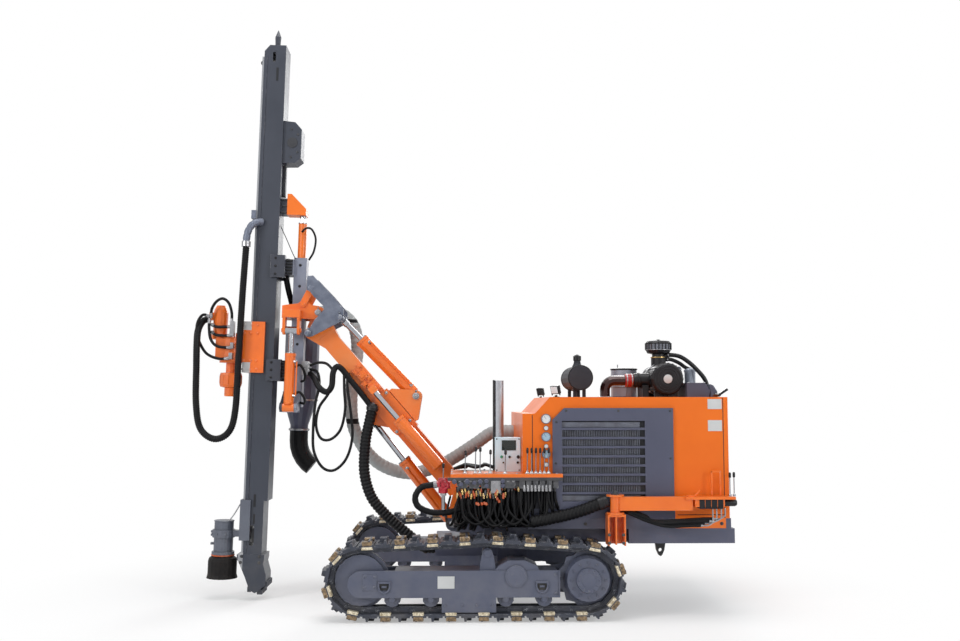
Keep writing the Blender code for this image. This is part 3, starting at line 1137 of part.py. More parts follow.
def build_console():
    x, y = CONSOLE_X, CONSOLE_Y
    face = -BODY_HALF - TOUCH
    post = [box((x - 0.070, x + 0.080), (y - 0.055, face), (FRAME_BOTTOM + 0.002, 0.870 - TOUCH)),
            rod(Vector((x, y, 0.86)), Vector((x, y, 1.035)), 0.026)]
    holes = [box((x - 0.058, x + 0.068), (y - 0.115, face - 0.016), (FRAME_BOTTOM - 0.05, 0.850))]
    gusset = box((x - 0.006, x + 0.006), (y - 0.050, face - 0.010), (FRAME_BOTTOM + 0.01, 0.86))
    node("console_post", "orange_paint", "root", [fuse(post, holes), gusset])
    arm = [rod(Vector((x, y, 0.870)), Vector((x, y, 1.030)), 0.042),
           rod(Vector((x, y, 0.870)), Vector((x, y, 0.884)), 0.075, 16),
           rod(Vector((x, y, 1.018)), Vector((x, y, 1.032)), 0.075, 16),
           box((x + 0.03, x + 0.650), (y - 0.035, y + 0.035), (0.900, 1.015)),
           box((x + 0.590, x + 1.010), (y - 0.065, y + 0.065), (0.994, 1.016)),
           box((x + 0.670, x + 0.920), (y - 0.045, y + 0.045), (0.930, 0.996))]
    node("console_arm", "orange_paint", "console", arm,
         [hole(Vector((x, y, 0.5)), Vector((x, y, 1.5)), 0.026)])


# Hoses, each a route of points chosen by hand

def build_hoses():
    side = -0.22
    hose("head_hose", "black_rubber", "carriage",
         [(-2.4872, 0.0, 2.595), (-2.497, 0.0, 2.595), (-2.510, 0.0, 2.595), (-2.550, -0.030, 2.570),
          (-2.570, -0.110, 2.480), (-2.560, -0.185, 2.340), (-2.550, side, 2.150), (-2.545, side, 1.800),
          (-2.500, side, 1.570), (-2.370, side, 1.475), (-2.240, side, 1.540), (-2.185, side, 1.740),
          (-2.165, side, 2.200), (-2.140, side, 2.800), (-2.115, side, 3.250)], 0.032, 3)
    hose("boom_hose", "black_rubber", "boom_seat",
         [(-0.930, -0.1568, 1.770), (-0.955, -0.160, 1.650), (-0.990, -0.190, 1.450), (-0.995, -0.230, 1.180),
          (-0.930, -0.260, 0.960), (-0.800, -0.280, 0.800), (-0.640, -0.300, 0.660), (-0.490, -0.310, 0.540),
          (-0.430, -0.310, 0.500), (-0.385, -0.310, 0.500), (-0.340 - TOUCH, -0.310, 0.500)], 0.050, 3)
    hose("deck_hose", "black_rubber", "root",
         [(0.480, -0.9525, 0.800), (0.640, -0.9525, 0.830), (0.860, -0.9525, 0.880), (1.085, -0.9525, 0.960)],
         0.052, 3)
    hose("dust_hose", "grey_fabric", "root",
         [(-1.520, 0.420, 2.700), (-1.330, 0.400, 2.700), (-1.170, 0.380, 2.560), (-1.130, 0.370, 2.300),
          (-1.180, 0.360, 1.950), (-1.150, 0.360, 1.550), (-0.940, 0.370, 1.240), (-0.620, 0.400, 1.120),
          (-0.300, 0.440, 1.200), (0.020, 0.480, 1.390), (0.180, 0.500, 1.500), (0.290, 0.500, 1.525),
          (0.355, 0.500, 1.525), (HOUSE_FRONT - TOUCH, 0.500, 1.525)], 0.062, 3)


def build():
    set_up()
    build_tracks()
    build_chassis()
    build_house()
    build_roof()
    build_deck()
    build_seat()
    build_boom()
    build_cylinders()
    build_linkage()
    build_arm()
    build_cradle()
    build_roll_cylinder()
    build_mast()
    build_hood()
    build_head()
    build_console()
    build_hoses()


build()
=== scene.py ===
import math
import random

import bmesh
import bpy
from mathutils import Matrix, Vector


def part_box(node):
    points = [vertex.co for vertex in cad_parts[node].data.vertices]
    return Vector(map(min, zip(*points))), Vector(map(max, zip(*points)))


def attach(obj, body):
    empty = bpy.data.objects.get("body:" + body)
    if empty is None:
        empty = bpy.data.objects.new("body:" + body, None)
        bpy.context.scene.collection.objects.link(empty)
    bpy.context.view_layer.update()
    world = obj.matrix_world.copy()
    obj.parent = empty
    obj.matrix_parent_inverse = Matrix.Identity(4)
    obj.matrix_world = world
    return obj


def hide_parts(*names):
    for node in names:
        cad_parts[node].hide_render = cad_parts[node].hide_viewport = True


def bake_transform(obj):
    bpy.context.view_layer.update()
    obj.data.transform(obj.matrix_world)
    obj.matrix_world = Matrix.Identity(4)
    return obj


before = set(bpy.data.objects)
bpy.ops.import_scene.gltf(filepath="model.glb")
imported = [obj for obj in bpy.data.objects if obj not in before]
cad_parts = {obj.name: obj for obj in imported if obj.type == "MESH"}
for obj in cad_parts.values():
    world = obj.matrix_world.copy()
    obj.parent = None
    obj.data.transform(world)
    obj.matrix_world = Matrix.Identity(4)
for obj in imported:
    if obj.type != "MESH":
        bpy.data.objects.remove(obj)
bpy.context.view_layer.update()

# Camera: about 9.5 m to the rig's left, a little above the house's roof, looking slightly up.
# The track's middle stands behind the middle of the whole box, so places are counted from it.
TRACK_MIDDLE_X = 0.186
YAW = math.radians(1.3176)
PITCH = math.radians(4.716)


def spot(x, y, z):
    """A place counted from the middle between the tracks, on the ground."""
    return Vector((x + TRACK_MIDDLE_X, y, z))


ahead = Vector((math.sin(YAW) * math.cos(PITCH), math.cos(YAW) * math.cos(PITCH), math.sin(PITCH)))
right = ahead.cross(Vector((0.0, 0.0, 1.0))).normalized()
lens = bpy.data.cameras.new("camera")
lens.sensor_width = 36.0
lens.lens = 37.5
camera = bpy.data.objects.new("camera", lens)
bpy.context.scene.collection.objects.link(camera)
turned = Matrix((right, right.cross(ahead), -ahead)).transposed().to_4x4()
camera.matrix_world = Matrix.Translation(spot(-0.14787, -9.5, 1.80328)) @ turned
bpy.context.scene.camera = camera
bpy.context.scene.view_settings.view_transform = "Standard"

# Floor and light: a pale studio floor, one large soft key light at the front left,
# a weaker fill at the right and a broad one above. The background shows plain white.


def put(tree, kind, inputs=(), **settings):
    """Add a shader node; inputs are pairs of socket and value, or of socket and the socket it takes."""
    made = tree.nodes.new("ShaderNode" + kind)
    for key, value in settings.items():
        setattr(made, key, value)
    for key, value in inputs:
        if isinstance(value, bpy.types.NodeSocket):
            tree.links.new(value, made.inputs[key])
        else:
            made.inputs[key].default_value = value
    return made


def blank_material(name):
    made = bpy.data.materials.new(name)
    made.use_nodes = True
    made.node_tree.nodes.clear()
    return made, made.node_tree


sky = bpy.data.worlds.new("studio")
sky.use_nodes = True
sky.node_tree.nodes.clear()
paths = put(sky.node_tree, "LightPath")
seen = put(sky.node_tree, "Math",
           [(0, paths.outputs["Is Camera Ray"]), (1, paths.outputs["Is Transmission Ray"])],
           operation="MAXIMUM")
shown = put(sky.node_tree, "Math", [(0, seen.outputs[0]), (1, paths.outputs["Is Glossy Ray"])],
            operation="MAXIMUM")
plain = put(sky.node_tree, "Background", [("Color", (1.0, 1.0, 1.0, 1.0)), ("Strength", 1.0)])
soft = put(sky.node_tree, "Background", [("Color", (0.96, 0.98, 1.0, 1.0)), ("Strength", 0.36)])
either = put(sky.node_tree, "MixShader", [(0, shown.outputs[0]), (1, soft.outputs[0]), (2, plain.outputs[0])])
put(sky.node_tree, "OutputWorld", [("Surface", either.outputs[0])])
bpy.context.scene.world = sky

floor_finish, tree = blank_material("studio_floor")
cloud = put(tree, "TexNoise", [("Scale", 0.6), ("Detail", 3.0)])
tone = put(tree, "MapRange", [("Value", cloud.outputs[0]), ("To Min", 0.955), ("To Max", 0.975)])
pale = put(tree, "CombineColor", [(0, tone.outputs[0]), (1, tone.outputs[0]), (2, tone.outputs[0])])
shader = put(tree, "BsdfPrincipled",
             [("Base Color", pale.outputs[0]), ("Roughness", 0.9), ("Specular IOR Level", 0.1)])
glow = put(tree, "Emission", [("Color", (1.0, 1.0, 1.0, 1.0)), ("Strength", 1.0)])
where = put(tree, "TexCoord")
away = put(tree, "VectorMath", [(0, where.outputs["Object"])], operation="LENGTH")
share = put(tree, "MapRange", [("Value", away.outputs["Value"]), ("From Min", 2.2), ("From Max", 4.6),
                                ("To Min", 0.38)],
            interpolation_type="SMOOTHSTEP")
paths = put(tree, "LightPath")
share = put(tree, "Math", [(0, share.outputs[0]), (1, paths.outputs["Is Camera Ray"])], operation="MULTIPLY")
surface = put(tree, "MixShader", [(0, share.outputs[0]), (1, shader.outputs[0]), (2, glow.outputs[0])])
put(tree, "OutputMaterial", [("Surface", surface.outputs[0])])
bm = bmesh.new()
bmesh.ops.create_grid(bm, x_segments=8, y_segments=8, size=60.0)
floor_mesh = bpy.data.meshes.new("floor")
bm.to_mesh(floor_mesh)
bm.free()
floor_mesh.materials.append(floor_finish)
floor = bpy.data.objects.new("floor", floor_mesh)
bpy.context.scene.collection.objects.link(floor)

LIGHTS = (  # name, place, aim, size, watts
    ("key", (-9.5, -8.5, 6.0), (-0.3, 0.0, 1.8), 4.0, 560.0),
    ("fill", (9.5, -8.0, 4.5), (0.3, 0.0, 1.5), 4.0, 370.0),
    ("top", (0.0, -1.5, 11.0), (0.0, 0.0, 0.0), 7.0, 520.0),
    ("back", (3.0, 9.0, 6.0), (0.0, 0.0, 1.5), 5.0, 350.0),
)
for name, place, target, size, watts in LIGHTS:
    lamp = bpy.data.lights.new(name, "AREA")
    lamp.shape = "DISK"
    lamp.size = size
    lamp.energy = watts
    stand = bpy.data.objects.new(name, lamp)
    stand.location = place
    stand.rotation_euler = (Vector(target) - Vector(place)).to_track_quat("-Z", "Y").to_euler()
    bpy.context.scene.collection.objects.link(stand)

# Hydraulic and air hoses: black rubber hoses in a ribbed spiral guard, clamped at both ends,
# and the pale ribbed fabric hose that carries the dust from the cyclone to the house.


def group(name, inputs, outputs):
    """A shader group with named sockets; it hands back its tree, its input node and its output node."""
    made = bpy.data.node_groups.new(name, "ShaderNodeTree")
    for label, kind, value in inputs:
        socket = made.interface.new_socket(label, in_out="INPUT", socket_type="NodeSocket" + kind)
        socket.default_value = value
    for label, kind in outputs:
        made.interface.new_socket(label, in_out="OUTPUT", socket_type="NodeSocket" + kind)
    return made, made.nodes.new("NodeGroupInput"), made.nodes.new("NodeGroupOutput")


def use(tree, made, inputs=()):
    node = put(tree, "Group", node_tree=made)
    for key, value in inputs:
        if isinstance(value, bpy.types.NodeSocket):
            tree.links.new(value, node.inputs[key])
        else:
            node.inputs[key].default_value = value
    return node


def mixed(tree, factor, low, high):
    """The colour between two others."""
    node = put(tree, "Mix", data_type="RGBA")
    for index, value in ((0, factor), (6, low), (7, high)):
        if isinstance(value, bpy.types.NodeSocket):
            tree.links.new(value, node.inputs[index])
        else:
            node.inputs[index].default_value = value if index == 0 else (*value, 1.0)
    return node.outputs[2]


def sums(tree, kind, *values, clamp=False):
    node = put(tree, "Math", list(enumerate(values)), operation=kind, use_clamp=clamp)
    return node.outputs[0]


# Mottle: soft uneven patches, from 0 to 1
MOTTLE, inside, outside = group("mottle", [("Scale", "Float", 3.0), ("Detail", "Float", 4.0)],
                                [("Value", "Float")])
where = put(MOTTLE, "TexCoord")
patches = put(MOTTLE, "TexNoise", [("Vector", where.outputs["Object"]), ("Scale", inside.outputs["Scale"]),
                                   ("Detail", inside.outputs["Detail"]), ("Roughness", 0.6)])
spread = put(MOTTLE, "MapRange", [("Value", patches.outputs[0]), ("From Min", 0.32), ("From Max", 0.68)])
MOTTLE.links.new(spread.outputs[0], outside.inputs["Value"])

# Edges: where paint or rubber is rubbed thin at an edge, broken up by noise
EDGES, inside, outside = group("rubbed_edges", [("Breakup", "Float", 22.0)], [("Mask", "Float")])
where = put(EDGES, "TexCoord")
rounded = put(EDGES, "Bevel", [("Radius", 0.006)], samples=4)
flat = put(EDGES, "NewGeometry")
alike = put(EDGES, "VectorMath", [(0, rounded.outputs[0]), (1, flat.outputs["Normal"])],
            operation="DOT_PRODUCT")
turned_away = sums(EDGES, "SUBTRACT", 1.0, alike.outputs["Value"], clamp=True)
chips = put(EDGES, "TexNoise", [("Vector", where.outputs["Object"]), ("Scale", inside.outputs["Breakup"]),
                                ("Detail", 5.0)])
broken = put(EDGES, "MapRange", [("Value", chips.outputs[0]), ("From Min", 0.48), ("From Max", 0.62)])
rubbed = sums(EDGES, "MULTIPLY", sums(EDGES, "MULTIPLY", turned_away, 9.0, clamp=True), broken.outputs[0],
              clamp=True)
EDGES.links.new(rubbed, outside.inputs["Mask"])

# Dust: thicker near the ground and on faces that look up
DUST, inside, outside = group("settled_dust", [("Fade", "Float", 1.0)], [("Mask", "Float")])
where = put(DUST, "TexCoord")
height = put(DUST, "SeparateXYZ", [(0, where.outputs["Object"])])
low_down = put(DUST, "MapRange",
               [("Value", height.outputs[2]), ("From Min", 0.0), ("From Max", inside.outputs["Fade"]),
                                  ("To Min", 0.7), ("To Max", 0.0)])
facing = put(DUST, "SeparateXYZ", [(0, where.outputs["Normal"])])
upward = put(DUST, "MapRange",
             [("Value", facing.outputs[2]), ("From Min", 0.5), ("From Max", 1.0), ("To Max", 0.6)])
drift = put(DUST, "TexNoise", [("Vector", where.outputs["Object"]), ("Scale", 7.0), ("Detail", 6.0)])
patchy = put(DUST, "MapRange", [("Value", drift.outputs[0]), ("From Min", 0.38), ("From Max", 0.66)])
both = sums(DUST, "ADD", low_down.outputs[0], upward.outputs[0], clamp=True)
DUST.links.new(sums(DUST, "MULTIPLY", both, patchy.outputs[0], clamp=True), outside.inputs["Mask"])

# Grain: the fine unevenness of sprayed paint, cast metal or rubber, as a height
GRAIN, inside, outside = group("grain", [("Scale", "Float", 120.0)], [("Height", "Float")])
where = put(GRAIN, "TexCoord")
fine = put(GRAIN, "TexNoise",
           [("Vector", where.outputs["Object"]), ("Scale", inside.outputs["Scale"]), ("Detail", 3.0)])
broad = put(GRAIN, "TexNoise", [("Vector", where.outputs["Object"]), ("Scale", 4.0), ("Detail", 2.0)])
deep = sums(GRAIN, "MULTIPLY", broad.outputs[0], 3.0)
GRAIN.links.new(sums(GRAIN, "ADD", fine.outputs[0], deep), outside.inputs["Height"])

DUST_TINT = (0.30, 0.27, 0.23)


def zone(tree, bounds):
    """A mask of 1 where the object's own coordinates lie within bounds: (direction, low, high) each."""
    where = put(tree, "TexCoord")
    mask = None
    for direction, low, high in bounds:
        along = put(tree, "VectorMath", [(0, where.outputs["Object"]), (1, direction)],
                    operation="DOT_PRODUCT")
        above = sums(tree, "GREATER_THAN", along.outputs["Value"], low)
        within = sums(tree, "MULTIPLY", above, sums(tree, "LESS_THAN", along.outputs["Value"], high))
        mask = within if mask is None else sums(tree, "MULTIPLY", mask, within)
    return mask


def finish(name, colour, faded, bared, rough, metal=0.0, bared_metal=0.6, coat=0.0, grain=120.0, bump=0.12,
           patch=2.5, wear=0.6, dust=0.35, fade=0.9, edge=0.003, shiny=0.4, zones=()):
    """A painted, metal or rubber surface with patches, rubbed edges, dust and grain.

    Zones are boxes that repaint parts of it.
    """
    made, tree = blank_material(name)
    mottle = use(tree, MOTTLE, [("Scale", patch)]).outputs[0]
    rubbed = sums(tree, "MULTIPLY", use(tree, EDGES).outputs[0], wear)
    dusty = sums(tree, "MULTIPLY", use(tree, DUST, [("Fade", fade)]).outputs[0], dust)
    tint = mixed(tree, mottle, colour, faded)
    shine = sums(tree, "ADD", sums(tree, "MULTIPLY", mottle, 0.10), rough - 0.05)
    metallic = sums(tree, "ADD", metal, 0.0)
    for bounds, other, other_rough, other_metal in zones:
        mask = zone(tree, bounds)
        tint = mixed(tree, mask, tint, other)
        there = sums(tree, "SUBTRACT", 1.0, mask)
        shine = sums(tree, "MULTIPLY_ADD", shine, there, sums(tree, "MULTIPLY", mask, other_rough))
        metallic = sums(tree, "MULTIPLY_ADD", metallic, there, sums(tree, "MULTIPLY", mask, other_metal))
    tint = mixed(tree, rubbed, tint, bared)
    tint = mixed(tree, dusty, tint, DUST_TINT)
    kept = sums(tree, "SUBTRACT", 1.0, rubbed)
    metallic = sums(tree, "MULTIPLY_ADD", metallic, kept, sums(tree, "MULTIPLY", rubbed, bared_metal))
    metallic = sums(tree, "MULTIPLY", metallic, sums(tree, "SUBTRACT", 1.0, dusty))
    shine = sums(tree, "MULTIPLY_ADD", dusty, 0.35, shine, clamp=True)
    smooth = put(tree, "Bevel", [("Radius", edge)], samples=4)
    relief = put(tree, "Bump",
                 [("Height", use(tree, GRAIN, [("Scale", grain)]).outputs[0]), ("Strength", bump),
                                ("Distance", 0.004), ("Normal", smooth.outputs[0])])
    shader = put(tree, "BsdfPrincipled", [("Base Color", tint), ("Roughness", shine), ("Metallic", metallic),
                                          ("Normal", relief.outputs[0]), ("Specular IOR Level", shiny),
                                          ("Coat Weight", coat), ("Coat Roughness", 0.08)])
    put(tree, "OutputMaterial", [("Surface", shader.outputs[0])])
    return made


RUBBER = finish("hose_rubber", (0.004, 0.004, 0.005), (0.008, 0.008, 0.009), (0.020, 0.020, 0.022), 0.44,
                bared_metal=0.0, patch=6.0, wear=0.4, dust=0.03, grain=300.0, shiny=0.16)
DUST_CLOTH = finish("dust_hose_cloth", (0.36, 0.375, 0.375), (0.46, 0.475, 0.475), (0.25, 0.25, 0.24), 0.80,
                    bared_metal=0.0, patch=5.0, wear=0.35, dust=0.15, grain=420.0, bump=0.3, shiny=0.1,
                    zones=[([((0.0, 0.0, 1.0), 1.600, 1.650), ((1.0, 0.0, 0.0), -1.10, -0.85)],
                            (0.010, 0.010, 0.011), 0.5, 0.0),
                           ([((0.0, 0.0, 1.0), 2.590, 2.625), ((1.0, 0.0, 0.0), -1.10, -0.80)],
                            (0.010, 0.010, 0.011), 0.5, 0.0)])


def smooth_route(points, per_span=24):
    """Points read from a Catmull-Rom curve through the route's own points."""
    ends = [points[0] * 2 - points[1]] + points + [points[-1] * 2 - points[-2]]
    route = []
    for i in range(len(points) - 1):
        a, b, c, d = ends[i:i + 4]
        for k in range(per_span):
            t = k / per_span
            route.append(((b * 2) + (c - a) * t + (a * 2 - b * 5 + c * 4 - d) * t ** 2
                          + (b * 3 - a - c * 3 + d) * t ** 3) * 0.5)
    return route + [points[-1]]


def length_of(line):
    return sum((b - a).length for a, b in zip(line, line[1:]))


def evenly(line, step):
    """The line again, with points one step apart."""
    count = max(2, round(length_of(line) / step))
    step = length_of(line) / count
    even = [line[0]]
    gone, wanted = 0.0, step
    for a, b in zip(line, line[1:]):
        reach = (b - a).length
        while wanted <= gone + reach + 1e-9 and len(even) < count:
            even.append(a.lerp(b, (wanted - gone) / reach))
            wanted += step
        gone += reach
    return even + [line[-1]]


def sweep(bm, line, radii, sides=12):
    """Skin a tube over a line of points, with a radius for each."""
    ahead = (line[1] - line[0]).normalized()
    side = ahead.orthogonal().normalized()
    rings = []
    for i, (point, radius) in enumerate(zip(line, radii)):
        now = (line[min(i + 1, len(line) - 1)] - line[max(i - 1, 0)]).normalized()
        side = (ahead.rotation_difference(now) @ side).normalized()
        ahead = now
        across = ahead.cross(side)
        angles = [math.tau * k / sides for k in range(sides)]
        rings.append([bm.verts.new(point + (side * math.cos(a) + across * math.sin(a)) * radius)
                      for a in angles])
    for a, b in zip(rings, rings[1:]):
        for k in range(sides):
            j = (k + 1) % sides
            bm.faces.new((a[k], a[j], b[j], b[k]))
    bm.faces.new(list(reversed(rings[0])))
    bm.faces.new(rings[-1])


def piece(name, bm, material, body, bevel=0.0, angle=35.0):
    """Make the mesh an object of its own that rides on a body."""
    mesh = bpy.data.meshes.new(name)
    bmesh.ops.recalc_face_normals(bm, faces=bm.faces)
    bm.to_mesh(mesh)
    bm.free()
    mesh.materials.append(material)
    mesh.shade_smooth()
    mesh.set_sharp_from_angle(angle=math.radians(angle))
    made = bpy.data.objects.new(name, mesh)
    bpy.context.scene.collection.objects.link(made)
    if bevel:
        chamfer = made.modifiers.new("bevel", "BEVEL")
        chamfer.width = bevel
        chamfer.segments = 2
        chamfer.limit_method = "ANGLE"
        chamfer.angle_limit = math.radians(40)
    if body:
        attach(made, body)
    return made


def ribbed(count, radius, depth, every):
    """Radii down a hose whose ribs come every so many points."""
    return [radius - depth * (i % every in (0, 1)) for i in range(count)]


ROUTES = {  # node: body, radius, rib depth, points between ribs, route
    "head_hose": ("drill_carriage", 0.032, 0.0035, 4,
                  [(-2.4872, 0.0, 2.595), (-2.497, 0.0, 2.595), (-2.510, 0.0, 2.595), (-2.550, -0.030, 2.570),
                   (-2.570, -0.110, 2.480), (-2.560, -0.185, 2.340), (-2.550, -0.22, 2.150),
                   (-2.545, -0.22, 1.800),
                   (-2.500, -0.22, 1.570), (-2.370, -0.22, 1.475), (-2.240, -0.22, 1.540),
                   (-2.185, -0.22, 1.740),
                   (-2.165, -0.22, 2.200), (-2.140, -0.22, 2.800), (-2.115, -0.22, 3.250)]),
    "boom_hose": ("boom_seat", 0.050, 0.005, 5,
                  [(-0.930, -0.1568, 1.770), (-0.955, -0.160, 1.650), (-0.990, -0.190, 1.450),
                   (-0.995, -0.230, 1.180),
                   (-0.930, -0.260, 0.960), (-0.800, -0.280, 0.800), (-0.640, -0.300, 0.660),
                   (-0.490, -0.310, 0.540),
                   (-0.430, -0.310, 0.500), (-0.385, -0.310, 0.500), (-0.3403, -0.310, 0.500)]),
    "deck_hose": ("carrier", 0.052, 0.005, 5,
                  [(0.480, -0.9525, 0.800), (0.640, -0.9525, 0.830), (0.860, -0.9525, 0.880),
                   (1.085, -0.9525, 0.960)]),
    "dust_hose": ("carrier", 0.062, 0.003, 6,
                  [(-1.520, 0.420, 2.700), (-1.330, 0.400, 2.700), (-1.170, 0.380, 2.560),
                   (-1.130, 0.370, 2.300),
                   (-1.180, 0.360, 1.950), (-1.150, 0.360, 1.550), (-0.940, 0.370, 1.240),
                   (-0.620, 0.400, 1.120),
                   (-0.300, 0.440, 1.200), (0.020, 0.480, 1.390), (0.180, 0.500, 1.500),
                   (0.290, 0.500, 1.525),
                   (0.355, 0.500, 1.525), (0.4147, 0.500, 1.525)]),
}
for name, (body, radius, depth, every, points) in ROUTES.items():
    line = evenly(smooth_route([spot(*p) for p in points]), radius * 0.13)
    if name in ("boom_hose", "dust_hose"):
        line.reverse()
    bm = bmesh.new()
    sweep(bm, line, ribbed(len(line), radius, depth, every), 20)
    cloth = name == "dust_hose"
    hose = piece(name + "_ribbed", bm, DUST_CLOTH if cloth else RUBBER, body, angle=70.0)
    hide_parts(name)

# Tracks: forged chain links with hardened pins, and steel shoes bolted on. Bars of every second
# shoe are rubbed to golden metal; their bright cream edges and ends are worn metal and painted
# highlight together. The rest is dark blue-grey paint under site dust.
LEFT, RIGHT = -1, 1
TRACK_Y = (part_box("track_right")[0].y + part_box("track_right")[1].y) / 2
SHOE_HALF = (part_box("track_right")[1].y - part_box("track_right")[0].y) / 2
WHEEL_X, WHEEL_Z, CHAIN_RADIUS = 0.95, 0.335, 0.255
CARRIER_X, CARRIER_Z, CARRIER_REACH = 0.11, 0.552, 0.086
SHOES = 40
TRACK_PAINT = finish("track_paint", (0.028, 0.032, 0.045), (0.055, 0.061, 0.084), (0.38, 0.39, 0.42), 0.42,
                     wear=0.95, dust=0.22, fade=0.7, patch=9.0, grain=90.0, bump=0.25)
# The bars' bright cream edges and the cream shoe ends are worn golden metal and painted highlight together.
BAR_WEAR_AND_HIGHLIGHT = finish("bar_wear_and_painted_highlight", (0.360, 0.250, 0.140), (0.070, 0.052, 0.038), (0.90, 0.86, 0.74), 0.36,
                  metal=0.5,
                  bared_metal=0.6, wear=1.0, dust=0.05, patch=48.0, grain=160.0, bump=0.5)
TIP_WEAR_AND_HIGHLIGHT = finish("tip_wear_and_painted_highlight", (0.95, 0.86, 0.66), (0.30, 0.23, 0.13), (0.95, 0.93, 0.86), 0.34,
                     metal=0.35,
                     bared_metal=0.6, wear=1.0, dust=0.05, patch=56.0, grain=160.0, bump=0.5)


def belt(circles, steps=60):
    """Closed line round (x, z, radius) circles, taken against the clock."""
    turns = []
    for i, (x, z, radius) in enumerate(circles):
        nx, nz, nr = circles[(i + 1) % len(circles)]
        heading = math.atan2(nz - z, nx - x)
        turns.append(heading - math.acos((radius - nr) / math.hypot(nx - x, nz - z)))
    line = []
    for i, (x, z, radius) in enumerate(circles):
        start, end = turns[i - 1], turns[i]
        while end < start:
            end += math.tau
        for k in range(steps + 1):
            angle = start + (end - start) * k / steps
            line.append(Vector((x + radius * math.cos(angle), 0.0, z + radius * math.sin(angle))))
    return line


def lathe(bm, start, direction, profile, sides=16):
    """Turn (distance, radius) steps about a line; both ends are closed."""
    direction = direction.normalized()
    wide = direction.orthogonal().normalized()
    deep = direction.cross(wide)
    rings = []
    for distance, radius in profile:
        centre = start + direction * distance
        angles = [math.tau * k / sides for k in range(sides)]
        rings.append([bm.verts.new(centre + (wide * math.cos(a) + deep * math.sin(a)) * radius)
                      for a in angles])
    for a, b in zip(rings, rings[1:]):
        for k in range(sides):
            j = (k + 1) % sides
            bm.faces.new((a[k], a[j], b[j], b[k]))
    bm.faces.new(list(reversed(rings[0])))
    bm.faces.new(rings[-1])


def bar(bm, start, end, radius, sides=12):
    lathe(bm, start, end - start, [(0.0, radius), ((end - start).length, radius)], sides)


def block(bm, low, high, turn=None):
    """A block between two corners, turned by a matrix if there is one."""
    corners = [Vector((x, y, z)) for z in (low[2], high[2]) for y in (low[1], high[1]) for x in (low[0],
            high[0])]
    verts = [bm.verts.new(turn @ c if turn else c) for c in corners]
    for face in ((0, 2, 3, 1), (4, 5, 7, 6), (0, 1, 5, 4), (2, 6, 7, 3), (0, 4, 6, 2), (1, 3, 7, 5)):
        bm.faces.new([verts[i] for i in face])


def bolt(bm, place, axis, size=0.011):
    """A washer with a six-sided head on it, standing out along the axis."""
    lathe(bm, place - axis * 0.002, axis, [(0.0, size * 1.5), (0.004, size * 1.5)], 14)
    lathe(bm, place + axis * 0.001, axis, [(0.0, size), (size * 0.75, size), (size * 0.95, size * 0.7)], 6)


circles = [(-WHEEL_X, WHEEL_Z, CHAIN_RADIUS), (WHEEL_X, WHEEL_Z, CHAIN_RADIUS),
           (CARRIER_X, CARRIER_Z, CARRIER_REACH)]
pin_line = belt(circles)
UP = Vector((0.0, 0.0, 1.0))
TO_LEFT = Vector((0.0, -1.0, 0.0))
TO_RIGHT = Vector((0.0, 1.0, 0.0))
ALONG = Vector((1.0, 0.0, 0.0))
pins = evenly(pin_line + [pin_line[0]], length_of(pin_line + [pin_line[0]]) / SHOES)[:SHOES]
for side, name in ((LEFT, "left"), (RIGHT, "right")):
    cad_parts["track_" + name].data.materials[0] = TRACK_PAINT
    middle = spot(0.0, side * TRACK_Y, 0.0)
    links, bars, tips = bmesh.new(), bmesh.new(), bmesh.new()
    for i, pin in enumerate(pins):
        after = pins[(i + 1) % SHOES]
        along = (after - pin).normalized()
        out = Vector((along.z, 0.0, -along.x))
        across = TO_RIGHT
        stand = Matrix((along, across, out)).transposed().to_4x4()
        stand = Matrix.Translation(middle + pin) @ stand
        for rail in (-1, 1):
            face = pin + middle + across * rail * 0.0585
            bar(links, face, face + across * rail * 0.010, 0.024, 14)
            bar(links, face, face + across * rail * 0.017, 0.012, 10)
            edge = sorted((rail * 0.0605, rail * 0.0665))
            block(links, (0.012, edge[0], -0.024), (0.112, edge[1], 0.008), stand)
        for u in (0.076, 0.104):
            for y in (-0.030, 0.030):
                lathe(links, stand @ Vector((u, y, 0.0395)), out,
                      [(0.0, 0.010), (0.008, 0.010), (0.010, 0.007)], 6)
        if i % 2:
            for y in (-1, 1):
                near, far = sorted((y * 0.078, y * (SHOE_HALF - 0.060)))
                block(bars, (0.026, near, 0.036), (0.096, far, 0.0660), stand)
                near, far = sorted((y * (SHOE_HALF - 0.058), y * (SHOE_HALF + 0.0003)))
                block(bars, (0.018, near, 0.026), (0.104, far, 0.0685), stand)
                block(tips, (0.014, near, -0.002), (0.108, far, 0.0255), stand)
    piece("chain_links_" + name, links, TRACK_PAINT, "carrier")
    piece("shoe_bars_" + name, bars, BAR_WEAR_AND_HIGHLIGHT, "carrier", bevel=0.010)
    piece("shoe_tips_" + name, tips, TIP_WEAR_AND_HIGHLIGHT, "carrier", bevel=0.004)

